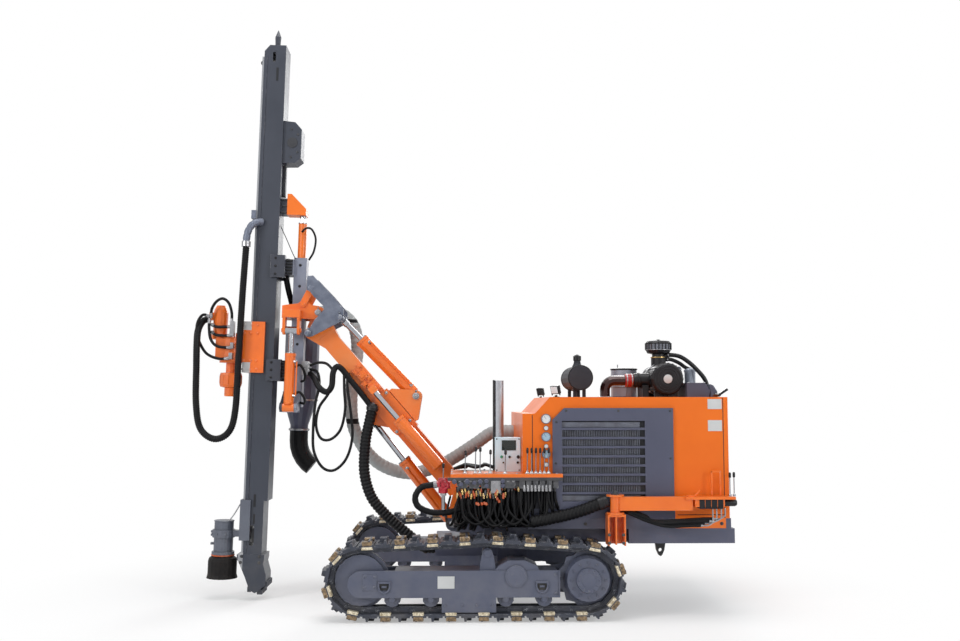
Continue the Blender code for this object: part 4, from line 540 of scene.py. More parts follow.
# Track frames: welded box beams with an idler at the drill end and a hydraulic drive at the
# other. Painted dark blue-grey; two lashing eyes sit in each outer face beside a bare plate.
FRAME_PAINT = finish("frame_paint", (0.082, 0.093, 0.140), (0.100, 0.111, 0.160), (0.24, 0.24, 0.25), 0.44,
                     coat=0.15,
                     wear=0.55, dust=0.22, fade=0.6, patch=3.5, grain=110.0)
PLATE_WHITE = finish("bare_plate", (0.62, 0.63, 0.63), (0.54, 0.55, 0.55), (0.45, 0.45, 0.45), 0.45,
                     wear=0.3, dust=0.10, shiny=0.2)
# Near-black for seams and gauge marks, and also painted shade that stands in for holes and slots.
DARK_MARKS_AND_HOLE_SHADE = finish("dark_marks_and_painted_hole_shade", (0.012, 0.013, 0.016), (0.018, 0.019, 0.022), (0.05, 0.05, 0.05), 0.75,
                   wear=0.2)
FRAME_FACE = 0.135
for side, name in ((LEFT, "left"), (RIGHT, "right")):
    for node in ("track_frame_", "idler_", "sprocket_"):
        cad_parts[node + name].data.materials[0] = FRAME_PAINT
    out = Vector((0.0, side, 0.0))
    face = side * (TRACK_Y + FRAME_FACE)
    details, hole_shade, plates = bmesh.new(), bmesh.new(), bmesh.new()
    for x in (-0.745, 0.560):
        ring = [spot(x + 0.047 * math.cos(a), face + side * 0.006, 0.300 + 0.058 * math.sin(a))
                for a in (math.pi + math.pi * k / 14 for k in range(15))]
        ring = [ring[0] + UP * 0.030] + ring + [ring[-1] + UP * 0.030]
        sweep(details, ring, [0.0085] * len(ring), 8)
        # The lashing eyes' openings are thin near-black blocks on the face: painted shade standing in for the
        # holes.
        block(hole_shade, spot(x - 0.038, min(face, face + side * 0.0015), 0.262),
              spot(x + 0.038, max(face, face + side * 0.0015), 0.332))
        block(details, spot(x - 0.052, min(face, face + side * 0.012), 0.318),
              spot(x + 0.052, max(face, face + side * 0.012), 0.336))
        block(details, spot(x - 0.020, min(face, face + side * 0.008), 0.284),
              spot(x + 0.020, max(face, face + side * 0.008), 0.300))
    block(plates, spot(-0.305, min(face, face + side * 0.002), 0.275),
          spot(-0.165, max(face, face + side * 0.002), 0.375))
    for x, z in ((-0.905, 0.29), (-0.905, 0.37), (-0.825, 0.29), (-0.825, 0.37), (0.675, 0.235),
                 (0.675, 0.385)):
        bolt(details, spot(x, face, z), out, 0.010)
    for x in (-0.24, -0.10, 0.02, 0.15):
        bolt(details, spot(x, face, 0.14), out, 0.009)
    block(details, spot(-0.925, min(face, face + side * 0.004), 0.262),
          spot(-0.805, max(face, face + side * 0.004), 0.392))
    block(details, spot(0.700, min(face, face + side * 0.010), 0.215),
          spot(0.7095, max(face, face + side * 0.010), 0.415))
    boss = side * (TRACK_Y + 0.147)
    for k in range(3):
        angle = math.tau * k / 3 + 0.5
        sunk = boss - side * 0.0085
        bolt(details, spot(0.344 + 0.040 * math.cos(angle), sunk, 0.374 + 0.040 * math.sin(angle)), out,
             0.011)
    lathe(details, spot(0.344, boss - side * 0.001, 0.374), out,
          [(0.0, 0.078), (0.003, 0.076), (0.0032, 0.070)], 28)
    hub = side * (TRACK_Y + 0.141)
    for k in range(12):
        angle = math.tau * k / 12
        drive = spot(WHEEL_X + 0.143 * math.cos(angle), side * (TRACK_Y + 0.1065),
                     WHEEL_Z + 0.143 * math.sin(angle))
        bolt(details, drive, out, 0.009)
        cap = spot(WHEEL_X + 0.084 * math.cos(angle), hub, WHEEL_Z + 0.084 * math.sin(angle))
        bolt(details, cap, out, 0.006)
    lathe(details, spot(WHEEL_X, hub - side * 0.001, WHEEL_Z), out,
          [(0.0, 0.060), (0.004, 0.058), (0.006, 0.020)], 24)
    lathe(details, spot(CARRIER_X, side * (TRACK_Y + 0.099), CARRIER_Z), out,
          [(0.0, 0.030), (0.010, 0.030), (0.014, 0.020)], 20)
    for x in (-0.68, -0.36, -0.05, 0.26, 0.58):
        z = WHEEL_Z - CHAIN_RADIUS + 0.036 + 0.0703
        lathe(details, spot(x, side * (TRACK_Y + 0.119), z), out,
              [(0.0, 0.026), (0.008, 0.024), (0.010, 0.012)], 14)
    piece("frame_fittings_" + name, details, FRAME_PAINT, "carrier")
    piece("lashing_pocket_painted_shade_" + name, hole_shade, DARK_MARKS_AND_HOLE_SHADE, "carrier")
    piece("frame_plate_" + name, plates, PLATE_WHITE, "carrier", bevel=0.0008)

# Chassis and engine house: folded sheet steel in bright orange on a blue-grey frame, doors with
# dark seams, a louvred grille over the radiator, round gauges, two work lamps and bare plates.
SLATE = finish("slate_paint", (0.082, 0.088, 0.138), (0.066, 0.071, 0.112), (0.28, 0.28, 0.30), 0.42,
               coat=0.15,
               wear=0.35, dust=0.18, fade=1.0, patch=2.2, grain=130.0, bump=0.08)
ENGINE_GREY = finish("engine_grey", (0.045, 0.047, 0.055), (0.030, 0.031, 0.036), (0.16, 0.16, 0.16), 0.55,
                     patch=8.0, wear=0.5, dust=0.35, fade=2.0)
FIN_METAL = finish("fin_metal", (0.165, 0.175, 0.215), (0.10, 0.105, 0.130), (0.34, 0.34, 0.35), 0.45,
                   metal=0.5,
                   patch=14.0, wear=0.3, dust=0.25, fade=2.4)
ZINC = finish("zinc_plate", (0.40, 0.40, 0.42), (0.26, 0.26, 0.27), (0.75, 0.75, 0.75), 0.30, metal=0.85,
              bared_metal=1.0, wear=0.5, dust=0.10, patch=20.0, grain=260.0)
CHROME = finish("chrome_rod", (0.42, 0.43, 0.46), (0.34, 0.35, 0.38), (0.85, 0.85, 0.85), 0.13, metal=1.0,
                bared_metal=1.0, wear=0.2, dust=0.05, patch=5.0, grain=240.0, bump=0.02)
DIAL = finish("gauge_dial", (0.80, 0.81, 0.82), (0.72, 0.73, 0.75), (0.5, 0.5, 0.5), 0.20, coat=0.8,
              wear=0.1, dust=0.04)
BLUE_DIAL = finish("gauge_dial_blue", (0.30, 0.45, 0.58), (0.40, 0.54, 0.64), (0.5, 0.5, 0.5), 0.18, coat=0.8,
                   wear=0.1, dust=0.04)
BLACK = finish("black_plastic", (0.008, 0.008, 0.010), (0.014, 0.014, 0.016), (0.05, 0.05, 0.05), 0.36,
               bared_metal=0.0, wear=0.4, dust=0.06, grain=320.0, shiny=0.3)
HOUSE_PAINT = finish("house_paint", (0.84, 0.170, 0.012), (0.78, 0.148, 0.010), (0.62, 0.36, 0.22), 0.42,
                     coat=0.12,
                     bared_metal=0.1, wear=0.35, dust=0.10, fade=0.9, patch=1.6, grain=150.0, bump=0.06,
                     shiny=0.25,
                     zones=[([((1.0, 0.0, 0.0), 0.55, 1.907), ((0.0, 0.0, 1.0), 0.70, 0.905)],
                             (0.080, 0.086, 0.135), 0.42, 0.0),
                            ([((1.0, 0.0, 0.0), 0.55, 0.90), ((0.0, 0.0, 1.0), 0.905, 1.10)],
                             (0.030, 0.032, 0.044), 0.5, 0.0)])
CHASSIS_PAINT = finish("chassis_paint", (0.082, 0.088, 0.138), (0.066, 0.071, 0.112), (0.28, 0.28, 0.30),
                       0.42, coat=0.15,
                       wear=0.45, dust=0.20, fade=1.0, patch=2.2, grain=130.0, bump=0.08,
                       zones=[([((1.0, 0.0, 0.0), 1.907, 2.342), ((0.0, 0.0, 1.0), 0.7365, 0.90)],
                               (0.82, 0.165, 0.012), 0.34, 0.0),
                              ([((1.0, 0.0, 0.0), 1.60, 2.10), ((0.0, 0.0, 1.0), 0.30, 0.6095)],
                               (0.012, 0.013, 0.016), 0.45, 0.0)])
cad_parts["chassis"].data.materials[0] = CHASSIS_PAINT
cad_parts["engine_house"].data.materials[0] = HOUSE_PAINT
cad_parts["grille_left"].data.materials[0] = SLATE
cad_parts["grille_right"].data.materials[0] = SLATE
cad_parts["engine_block"].data.materials[0] = ENGINE_GREY
WALL_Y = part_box("engine_house")[1].y
GRILLE_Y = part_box("grille_right")[1].y
HOUSE_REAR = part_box("engine_house")[1].x
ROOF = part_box("engine_house")[1].z
SLOT_FRONT, SLOT_REAR, SLOT_TOP, SLOT_HEIGHT, SLOT_PITCH, SLOTS = 0.753, 1.467, 1.650, 0.058, 0.078, 9


def strip(bm, start, end, across, lift, half=0.003):
    """A thin raised or dark line on a wall, from start to end, with across square to it in the wall."""
    wide = across * half
    verts = [bm.verts.new(p + w + h) for h in (lift * 0.2, lift) for p, w in
             ((start, -wide), (end, -wide), (end, wide), (start, wide))]
    for face in ((0, 1, 2, 3), (4, 5, 6, 7), (0, 1, 5, 4), (1, 2, 6, 5), (2, 3, 7, 6), (3, 0, 4, 7)):
        bm.faces.new([verts[i] for i in face])


seams, screws, plates = bmesh.new(), bmesh.new(), bmesh.new()
for side in (LEFT, RIGHT):
    out = Vector((0.0, side, 0.0))
    y = side * WALL_Y
    lift = out * 0.0012
    strip(seams, spot(2.148, y, 0.825), spot(2.148, y, 1.850), ALONG, lift)
    strip(seams, spot(1.742, y, 0.850), spot(2.148, y, 0.850), UP, lift)
    strip(seams, spot(0.500, y, 0.830), spot(0.500, y, 1.700), ALONG, lift)
    for x, z in ((0.700, 0.935), (0.705, 1.640), (0.790, 1.735), (1.685, 1.735), (1.685, 0.930),
                 (1.240, 1.735),
                 (1.685, 1.330), (0.700, 1.290)):
        bolt(screws, spot(x, side * GRILLE_Y, z), out, 0.007)
    for low, high in ((1.751, 1.837), (1.562, 1.656)):
        near, far = sorted((y, y + side * 0.002))
        block(plates, spot(2.016, near, low), spot(2.138, far, high))
    for x in (0.60, 0.95, 1.55, 1.90, 2.12):
        bolt(screws, spot(x, y, 0.775), out, 0.010)
rear = HOUSE_REAR - TRACK_MIDDLE_X
for y in (-0.80, -0.005, 0.005, 0.80):
    strip(seams, spot(rear, y, 0.90), spot(rear, y, 1.80), TO_RIGHT, ALONG * 0.0012)
for z in (0.90, 1.80):
    strip(seams, spot(rear, -0.80, z), spot(rear, 0.80, z), UP, ALONG * 0.0012)
for y in (-0.74, 0.74):
    for z in (1.05, 1.65):
        bar(screws, spot(rear + 0.006, y, z - 0.035), spot(rear + 0.006, y, z + 0.035), 0.009)
for y in (-0.16, 0.16):
    lathe(screws, spot(rear, y, 1.35), ALONG, [(0.0, 0.026), (0.006, 0.026), (0.010, 0.018)], 20)
piece("house_seams", seams, DARK_MARKS_AND_HOLE_SHADE, "carrier")
piece("house_screws", screws, ENGINE_GREY, "carrier")
piece("house_plates", plates, PLATE_WHITE, "carrier", bevel=0.0008)
fins, headers = bmesh.new(), bmesh.new()
core = -(WALL_Y - 0.0203)
for row in range(SLOTS):
    high = SLOT_TOP - row * SLOT_PITCH
    if row in (0, SLOTS - 1):
        block(headers, spot(SLOT_FRONT, core - 0.0160, high - SLOT_HEIGHT),
              spot(SLOT_REAR - 0.04, core, high - 0.008))
        continue
    count = 46
    for k in range(count):
        x = SLOT_FRONT + 0.004 + (SLOT_REAR - SLOT_FRONT - 0.050) * k / (count - 1)
        block(fins, spot(x - 0.0035, core - 0.0150, high - SLOT_HEIGHT - 0.004),
              spot(x + 0.0035, core, high + 0.004))
piece("radiator_fins", fins, FIN_METAL, "carrier")
piece("radiator_tanks", headers, FIN_METAL, "carrier", bevel=0.003)
rims, dials, blues, needles = bmesh.new(), bmesh.new(), bmesh.new(), bmesh.new()
out = TO_LEFT
GAUGES = ((1.667, 0.043, False), (1.589, 0.021, False), (1.514, 0.041, True), (1.434, 0.019, False),
          (1.367, 0.037, True), (1.278, 0.020, False))
for z, radius, blue in GAUGES:
    centre = spot(0.617, -WALL_Y, z)
    lathe(rims, centre, out,
          [(0.0, radius), (0.016, radius), (0.019, radius * 0.88), (0.014, radius * 0.84)], 28)
    lathe(blues if blue else dials, centre + out * 0.0135, out,
          [(0.0, radius * 0.86), (0.0018, radius * 0.85)], 28)
    for k in range(9 if radius > 0.03 else 0):
        angle = math.radians(-40 + 32.5 * k)
        spoke = Vector((math.cos(angle), 0.0, math.sin(angle)))
        start = centre + out * 0.0152 + spoke * radius * 0.62
        strip(needles, start, start + spoke * radius * 0.14, spoke.cross(out), out * 0.0006, 0.0009)
    if radius > 0.03:
        spoke = Vector((math.cos(2.2), 0.0, math.sin(2.2)))
        strip(needles, centre + out * 0.0155, centre + out * 0.0155 + spoke * radius * 0.6,
              spoke.cross(out), out * 0.001, 0.0012)
piece("gauge_rims", rims, FIN_METAL, "carrier")
piece("gauge_dials", dials, DIAL, "carrier")
piece("gauge_dials_blue", blues, BLUE_DIAL, "carrier")
piece("gauge_marks", needles, DARK_MARKS_AND_HOLE_SHADE, "carrier")
lamps, glasses = bmesh.new(), bmesh.new()
for side in (LEFT, RIGHT):
    aim = Matrix.Rotation(math.radians(-40 * side), 4, "Z") @ Matrix.Rotation(math.radians(-14), 4, "Y")
    tip = Matrix.Translation(spot(0.700, side * 0.80, 1.915)) @ aim
    block(lamps, (-0.002, -0.045, -0.036), (0.030, 0.045, 0.036), tip)
    block(glasses, (-0.005, -0.039, -0.030), (-0.001, 0.039, 0.030), tip)
    for k in range(4):
        block(lamps, (0.028, -0.038, -0.028 + k * 0.016), (0.040, 0.038, -0.022 + k * 0.016), tip)
    for y in (-0.048, 0.045):
        block(lamps, (0.002, y, -0.050), (0.016, y + 0.003, 0.010), tip)
    bar(lamps, spot(0.716, side * 0.80, ROOF), spot(0.712, side * 0.80, 1.872), 0.012)
    block(lamps, spot(0.690, side * 0.80 - 0.030, ROOF), spot(0.742, side * 0.80 + 0.030, ROOF + 0.004))
piece("work_lamps", lamps, BLACK, "carrier", bevel=0.003)
piece("work_lamp_glass", glasses, DIAL, "carrier", bevel=0.002)

# Roof machinery: a matt black muffler, a two-stage air cleaner with clamp bands and a clear
# bowl above it, a copper-brown intake pipe with a red rubber sleeve, and a tank with its tray.
MUFFLER_BLACK = finish("muffler_black", (0.020, 0.022, 0.032), (0.015, 0.017, 0.024), (0.12, 0.10, 0.09),
                       0.62, wear=0.5,
                       patch=6.0, dust=0.25, fade=2.4)
COPPER = finish("brown_pipe", (0.050, 0.015, 0.013), (0.028, 0.010, 0.010), (0.45, 0.25, 0.18), 0.22,
                metal=0.5, coat=0.3,
                patch=7.0, wear=0.4, dust=0.08)
RED = finish("red_rubber", (0.42, 0.012, 0.014), (0.32, 0.010, 0.012), (0.60, 0.10, 0.08), 0.36, coat=0.2,
             wear=0.3, dust=0.10)
BRASS = finish("yellow_zinc", (0.46, 0.31, 0.11), (0.28, 0.19, 0.08), (0.85, 0.75, 0.50), 0.28, metal=0.85,
               bared_metal=1.0, patch=20.0)
TRAY_PAINT = finish("tray_paint", (0.082, 0.090, 0.135), (0.064, 0.070, 0.108), (0.26, 0.26, 0.28), 0.46,
                    wear=0.4,
                    dust=0.25, fade=2.4,
                    zones=[([((1.0, 0.0, 0.0), 1.50, 1.79), ((0.0, 0.0, 1.0), 1.866, 2.100)],
                            (0.40, 0.44, 0.52), 0.30, 0.15)])
TANK_STEEL = finish("tank_steel", (0.42, 0.46, 0.54), (0.34, 0.38, 0.46), (0.70, 0.70, 0.72), 0.28,
                    metal=0.15, coat=0.3,
                    bared_metal=0.8, patch=9.0, wear=0.3, dust=0.08)
# Black plastic; the grey glossy band at the bowl's height is painted highlight standing in for the clear
# bowl's reflections.
CLEANER_AND_BOWL_HIGHLIGHT = finish("cleaner_plastic_and_bowl_highlight", (0.008, 0.008, 0.010), (0.014, 0.014, 0.016), (0.05, 0.05, 0.05),
                       0.36,
                       bared_metal=0.0, wear=0.4, dust=0.06, grain=320.0, shiny=0.3,
                       zones=[([((0.0, 0.0, 1.0), 2.300, 2.352)], (0.16, 0.17, 0.20), 0.16, 0.3)])
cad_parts["muffler"].data.materials[0] = MUFFLER_BLACK
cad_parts["air_cleaner"].data.materials[0] = CLEANER_AND_BOWL_HIGHLIGHT
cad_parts["intake_pipe"].data.materials[0] = COPPER
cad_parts["roof_tray"].data.materials[0] = TRAY_PAINT
across = TO_RIGHT
bright, black, red, brass = bmesh.new(), bmesh.new(), bmesh.new(), bmesh.new()
cleaner = spot(1.757, -0.50, 2.020)
hub = bmesh.new()
lathe(hub, cleaner - across * 0.0045, across, [(0.0, 0.034), (0.004, 0.040), (0.010, 0.040)], 28)
piece("cleaner_hub", hub, PLATE_WHITE, "carrier")
for y, radius in ((0.318, 0.1535), (0.420, 0.142), (0.560, 0.142)):
    lathe(bright, cleaner + across * (y - 0.006), across,
          [(0.0, radius), (0.0008, radius + 0.002), (0.012, radius + 0.002), (0.013, radius)], 40)
for k in range(4):
    angle = math.radians(45 + 90 * k)
    spoke = Vector((math.cos(angle), 0.0, math.sin(angle)))
    start = cleaner + across * 0.290 + spoke * 0.152
    block(bright, (-0.010, -0.004, 0.0), (0.010, 0.004, 0.050),
          Matrix.Translation(start) @ Matrix((spoke.cross(across), spoke, across)).transposed().to_4x4())
for k in range(26):
    angle = math.tau * k / 26
    spoke = Vector((math.cos(angle), 0.0, math.sin(angle)))
    bar(black, cleaner + across * 0.024 + spoke * 0.1475, cleaner + across * 0.295 + spoke * 0.1475, 0.0030,
        6)
for radius in (0.062, 0.092, 0.118):
    ring = [cleaner + across * 0.0006 + Vector((radius * math.cos(a), 0.0, radius * math.sin(a)))
            for a in (math.tau * k / 36 for k in range(37))]
    sweep(black, ring, [0.0034] * len(ring), 6)
neck = spot(1.745, -0.14, 2.120)
lathe(brass, neck + UP * 0.102, UP, [(0.0, 0.064), (0.003, 0.073), (0.012, 0.073), (0.015, 0.062)], 30)
for k in range(22):
    angle = math.tau * k / 22
    spoke = Vector((math.cos(angle), math.sin(angle), 0.0))
    bar(black, neck + UP * 0.182 + spoke * 0.1205, neck + UP * 0.243 + spoke * 0.1205, 0.0045, 6)
lathe(black, neck + UP * 0.2605, UP, [(0.0, 0.060), (0.006, 0.056), (0.010, 0.018), (0.018, 0.014)], 24)
lathe(bright, neck + UP * 0.176, UP, [(0.0, 0.118), (0.001, 0.1225), (0.005, 0.1225), (0.006, 0.118)], 36)
sleeve = spot(1.398, -0.30, 2.010)
lathe(red, sleeve, ALONG,
      [(0.0, 0.048), (0.001, 0.0585), (0.010, 0.0600), (0.064, 0.0600), (0.073, 0.0585), (0.074, 0.048)], 28)
for x in (0.012, 0.058):
    lathe(bright, sleeve + ALONG * x, ALONG,
          [(0.0, 0.0605), (0.0008, 0.0622), (0.010, 0.0622), (0.011, 0.0605)], 28)
lathe(bright, spot(1.215, -0.30, ROOF), UP, [(0.0, 0.068), (0.006, 0.068), (0.010, 0.050)], 24)
stub = spot(0.972, -0.20, 2.228)
lathe(black, stub - UP * 0.034, UP,
      [(0.0, 0.030), (0.003, 0.037), (0.044, 0.037), (0.050, 0.028), (0.060, 0.010)], 20)
for y in (-0.448, 0.158):
    lathe(black, spot(0.972, y, 2.033), across,
          [(0.0, 0.1135), (0.004, 0.1155), (0.010, 0.1155), (0.012, 0.1135)], 40)
tank = spot(1.462, 0.130, 1.862)
shell = bmesh.new()
lathe(shell, tank + UP * 0.185, UP, [(0.0, 0.120), (0.002, 0.1245), (0.070, 0.1245), (0.072, 0.110)], 36)
piece("tank_collar", shell, TANK_STEEL, "carrier")
lathe(black, tank + UP * 0.256, UP,
      [(0.0, 0.120), (0.002, 0.130), (0.014, 0.130), (0.022, 0.100), (0.030, 0.030)], 36)
lathe(bright, tank + UP * 0.090, UP, [(0.0, 0.1245), (0.001, 0.127), (0.008, 0.127), (0.009, 0.1245)], 36)
bar(bright, tank + UP * 0.262 - ALONG * 0.06, tank + UP * 0.310 - ALONG * 0.06, 0.005)
elbow = spot(1.474, -0.30, 2.010)
lathe(black, elbow, ALONG,
      [(0.0, 0.052), (0.003, 0.062), (0.018, 0.066), (0.040, 0.064), (0.042, 0.072), (0.058, 0.072),
                            (0.060, 0.066), (0.150, 0.070)], 28)
block(black, spot(1.545, -0.40, ROOF), spot(1.600, -0.12, 1.965))
bowl = bmesh.new()
lathe(bowl, spot(2.050, -0.10, 1.984), UP,
      [(0.0, 0.046), (0.004, 0.050), (0.110, 0.052), (0.112, 0.057), (0.132, 0.057),
                                            (0.134, 0.054), (0.142, 0.048), (0.143, 0.016), (0.156, 0.014)],
      24)
piece("roof_filter_bowl", bowl, TANK_STEEL, "carrier")
filter_top = spot(1.975, 0.195, 1.862)
for z in (0.150, 0.262):
    lathe(bright, filter_top + UP * z, UP,
          [(0.0, 0.0620), (0.001, 0.0645), (0.008, 0.0645), (0.009, 0.0620)], 28)
BREATHERS = (  # radius and points of the two hoses behind the cleaner
    (0.020, ((1.790, -0.170, 2.236), (1.850, -0.175, 2.252), (1.940, -0.185, 2.236), (2.030, -0.195, 2.175),
             (2.110, -0.200, 2.095), (2.160, -0.205, 2.030), (2.185, -0.205, 1.960), (2.190, -0.205, ROOF))),
    (0.018, ((1.790, -0.130, 2.206), (1.860, -0.130, 2.212), (1.940, -0.130, 2.180), (2.000, -0.115, 2.140),
             (2.045, -0.100, 2.120))),
)
for radius, points in BREATHERS:
    line = evenly(smooth_route([spot(*p) for p in points]), 0.012)
    sweep(black, line, [radius] * len(line), 14)
    lathe(bright, line[3], line[4] - line[3],
          [(0.0, radius), (0.001, radius + 0.0025), (0.010, radius + 0.0025), (0.011, radius)], 20)
turn = Matrix.Translation(spot(2.135, -0.72, ROOF + 0.006)) @ Matrix.Rotation(math.radians(-33), 4, "Y")
block(black, (0.0, -0.09, 0.0), (0.100, 0.09, 0.020), turn)
block(black, (0.010, -0.05, -0.010), (0.030, 0.05, 0.004), turn)
tail = bmesh.new()
sides = [[tail.verts.new(spot(x, y, z)) for x, z in ((2.134, ROOF), (2.205, ROOF), (2.205, 1.900),
                                                     (2.165, 1.962), (2.134, 1.975))]
         for y in (-0.515, 0.095)]
for k in range(5):
    tail.faces.new((sides[0][k], sides[0][(k + 1) % 5], sides[1][(k + 1) % 5], sides[1][k]))
for side in sides:
    tail.faces.new(side)
piece("roof_box_end", tail, TRAY_PAINT, "carrier", bevel=0.006)
for x, y in ((1.95, -0.48), (2.09, -0.48), (1.95, 0.06), (2.09, 0.06)):
    bolt(bright, spot(x, y, 1.985), UP, 0.008)
piece("roof_bands", bright, ZINC, "carrier")
piece("roof_black_fittings", black, BLACK, "carrier")
piece("intake_sleeve", red, RED, "carrier")
piece("cleaner_neck_ring", brass, BRASS, "carrier")

# Control deck: an orange plate with two rows of hand levers through it, black
# section valves below with zinc fittings, and a thick curtain of hoses hanging to the chassis.
DECK_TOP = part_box("control_box")[0].z
WHITE = finish("white_enamel", (0.68, 0.90, 1.00), (0.62, 0.84, 0.95), (0.50, 0.50, 0.50), 0.45, wear=0.3,
               dust=0.06, shiny=0.2)
SILVER = finish("silver_tube", (0.50, 0.51, 0.54), (0.38, 0.39, 0.42), (0.70, 0.70, 0.70), 0.32, metal=0.75,
                bared_metal=1.0, patch=16.0, wear=0.3, dust=0.12,
                zones=[([((1.0, 0.0, 0.0), 0.0, 0.3795)], (0.02, 0.02, 0.022), 0.5, 0.0)])
SCREEN = finish("dark_screen", (0.012, 0.022, 0.020), (0.020, 0.030, 0.028), (0.05, 0.05, 0.05), 0.12,
                coat=0.9, wear=0.0, dust=0.05)
GREEN = finish("green_button", (0.02, 0.30, 0.16), (0.02, 0.22, 0.12), (0.2, 0.4, 0.3), 0.3, coat=0.5,
               wear=0.1)
VALVE = finish("valve_iron", (0.050, 0.052, 0.060), (0.120, 0.122, 0.130), (0.45, 0.45, 0.46), 0.46,
               metal=0.35, wear=0.8,
               patch=30.0, dust=0.20, fade=1.8)
BURNT = finish("orange_cap", (0.58, 0.095, 0.015), (0.36, 0.060, 0.015), (0.6, 0.4, 0.3), 0.42,
               bared_metal=0.0, patch=12.0)
RED_PAINT = finish("red_valve", (0.50, 0.010, 0.030), (0.36, 0.008, 0.022), (0.6, 0.3, 0.3), 0.34, coat=0.4,
                   wear=0.5, dust=0.12)
DECK_PAINT = finish("deck_paint", (0.86, 0.175, 0.012), (0.76, 0.150, 0.012), (0.62, 0.40, 0.28), 0.36,
                    coat=0.4,
                    bared_metal=0.1, wear=0.6, dust=0.22, fade=0.9, patch=5.0, bump=0.06,
                    zones=[([((1.0, 0.0, 0.0), -0.30, -0.0145)], (0.46, 0.010, 0.028), 0.34, 0.0)])
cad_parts["control_deck"].data.materials[0] = DECK_PAINT
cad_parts["valve_banks"].data.materials[0] = VALVE
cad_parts["control_box"].data.materials[0] = WHITE
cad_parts["sight_tube"].data.materials[0] = SILVER
stems, knobs, boots = bmesh.new(), bmesh.new(), bmesh.new()


def lever(foot, head, grip=0.040, thick=0.0115):
    """A chromed stem through the plate, a rubber boot at its foot and a black grip on top."""
    direction = (head - foot).normalized()
    bar(stems, foot - direction * 0.004, head, 0.0045, 10)
    lathe(stems, foot, direction, [(0.0, 0.013), (0.018, 0.012), (0.026, 0.006)], 12)
    lathe(boots, foot, UP, [(0.0, 0.019), (0.005, 0.019), (0.010, 0.014)], 16)
    lathe(knobs, head - direction * grip * 0.75, direction,
          [(0.0, thick * 0.6), (grip * 0.15, thick), (grip * 0.8, thick), (grip, thick * 0.6),
           (grip * 1.05, thick * 0.2)], 14)


for x, tall in ((-0.078, 0.185), (0.010, 0.215), (0.049, 0.212), (0.136, 0.190)):
    lever(spot(x, -0.900, DECK_TOP), spot(x + 0.004, -0.900, DECK_TOP + tall))
lever(spot(0.262, -0.955, DECK_TOP), spot(0.266, -0.955, DECK_TOP + 0.190))
for k in range(6):
    x = 0.4505 + 0.0363 * k
    lever(spot(x, -0.945, DECK_TOP), spot(x + 0.002, -0.945, DECK_TOP + 0.206), 0.046, 0.0105)
handle = spot(-0.262, -0.90, 1.165)
bar(stems, handle, handle + UP * 0.105, 0.006)
lathe(knobs, handle + UP * 0.085, UP, [(0.0, 0.007), (0.006, 0.012), (0.036, 0.012), (0.042, 0.006)], 14)
piece("lever_stems", stems, CHROME, "carrier")
piece("lever_knobs", knobs, BLACK, "carrier")
piece("lever_boots", boots, PLATE_WHITE, "carrier")
buttons, greens, display = bmesh.new(), bmesh.new(), bmesh.new()
panel = -0.680
block(display, spot(0.247, panel - 0.0005, 1.390), spot(0.370, panel + 0.006, 1.476))
out = TO_LEFT
lathe(greens, spot(0.2445, panel, 1.333), out, [(0.0, 0.013), (0.008, 0.012), (0.010, 0.008)], 18)
for x, z, radius in ((0.314, 1.333, 0.011), (0.259, 1.284, 0.008), (0.386, 1.284, 0.011)):
    lathe(buttons, spot(x, panel, z), out, [(0.0, radius), (0.008, radius * 0.9), (0.010, radius * 0.6)], 18)
lathe(buttons, spot(0.390, panel, 1.333), out, [(0.0, 0.015), (0.012, 0.013), (0.014, 0.010)], 18)
block(buttons, spot(0.386, panel - 0.020, 1.318), spot(0.394, panel - 0.012, 1.348))
for x in (0.202, 0.398):
    for z in (1.218, 1.488):
        bolt(buttons, spot(x, panel, z), out, 0.004)
piece("box_buttons", buttons, BLACK, "carrier")
piece("box_green_button", greens, GREEN, "carrier")
piece("box_display", display, SCREEN, "carrier")

random.seed(7)
fittings, caps, yellows, hoses = bmesh.new(), bmesh.new(), bmesh.new(), bmesh.new()
dull = bmesh.new()
BANK_BOTTOM = 1.085
LOWEST = 0.745
for k in range(30):
    x = -0.135 + 0.0283 * k
    y = -0.955 + 0.018 * (k % 3)
    top = spot(x, y, BANK_BOTTOM + 0.010)
    drop = 0.035 + 0.012 * random.random()
    kind = dull if k % 4 in (0, 3) or k > 19 else (caps if k % 4 == 1 else yellows)
    lathe(kind, top, -UP,
          [(0.0, 0.0095), (0.012, 0.0095), (0.013, 0.0125), (0.026, 0.0125), (0.027, 0.009), (drop, 0.009)],
          8)
    foot = top - UP * (drop - 0.004)
    low = LOWEST + 0.016 + 0.16 * random.random() * (0.4 + 0.6 * (k % 2))
    shift = (0.10 - 0.26 * random.random()) * (1 if k < 16 else -0.4)
    inner = -0.62 + 0.16 * random.random()
    route = [foot, foot - UP * 0.05, spot(x + shift * 0.35, y + 0.01, (foot.z + low) / 2 - 0.03),
             spot(x + shift * 0.8, y + 0.05, low + 0.010), spot(x + shift * 1.3, y + 0.13, low),
             spot(x + shift * 1.5, (y + inner) / 2 + 0.05, low + 0.05),
             spot(x + shift * 1.3, inner, low + 0.13),
             spot(x + shift, inner + 0.05, 0.98)]
    line = evenly(smooth_route(route, 8), 0.020)
    sweep(hoses, line, [0.0105 + 0.002 * (k % 3)] * len(line), 10)
for k in range(12):
    x0 = -0.10 + 0.055 * k
    x1 = x0 + 0.20 + 0.10 * random.random()
    low = LOWEST + 0.012 + 0.07 * random.random()
    y = -0.972 + 0.012 * (k % 3)
    route = [spot(x0, y + 0.02, BANK_BOTTOM - 0.02), spot(x0 - 0.004, y, 0.95),
             spot(x0 + 0.02, y, low + 0.06),
             spot((x0 + x1) / 2, y, low), spot(x1 - 0.02, y + 0.01, low + 0.07), spot(x1, y + 0.03, 0.98),
             spot(x1, y + 0.05, BANK_BOTTOM - 0.02)]
    if x1 > 0.66:
        continue
    line = evenly(smooth_route(route, 8), 0.020)
    sweep(hoses, line, [0.0115] * len(line), 10)
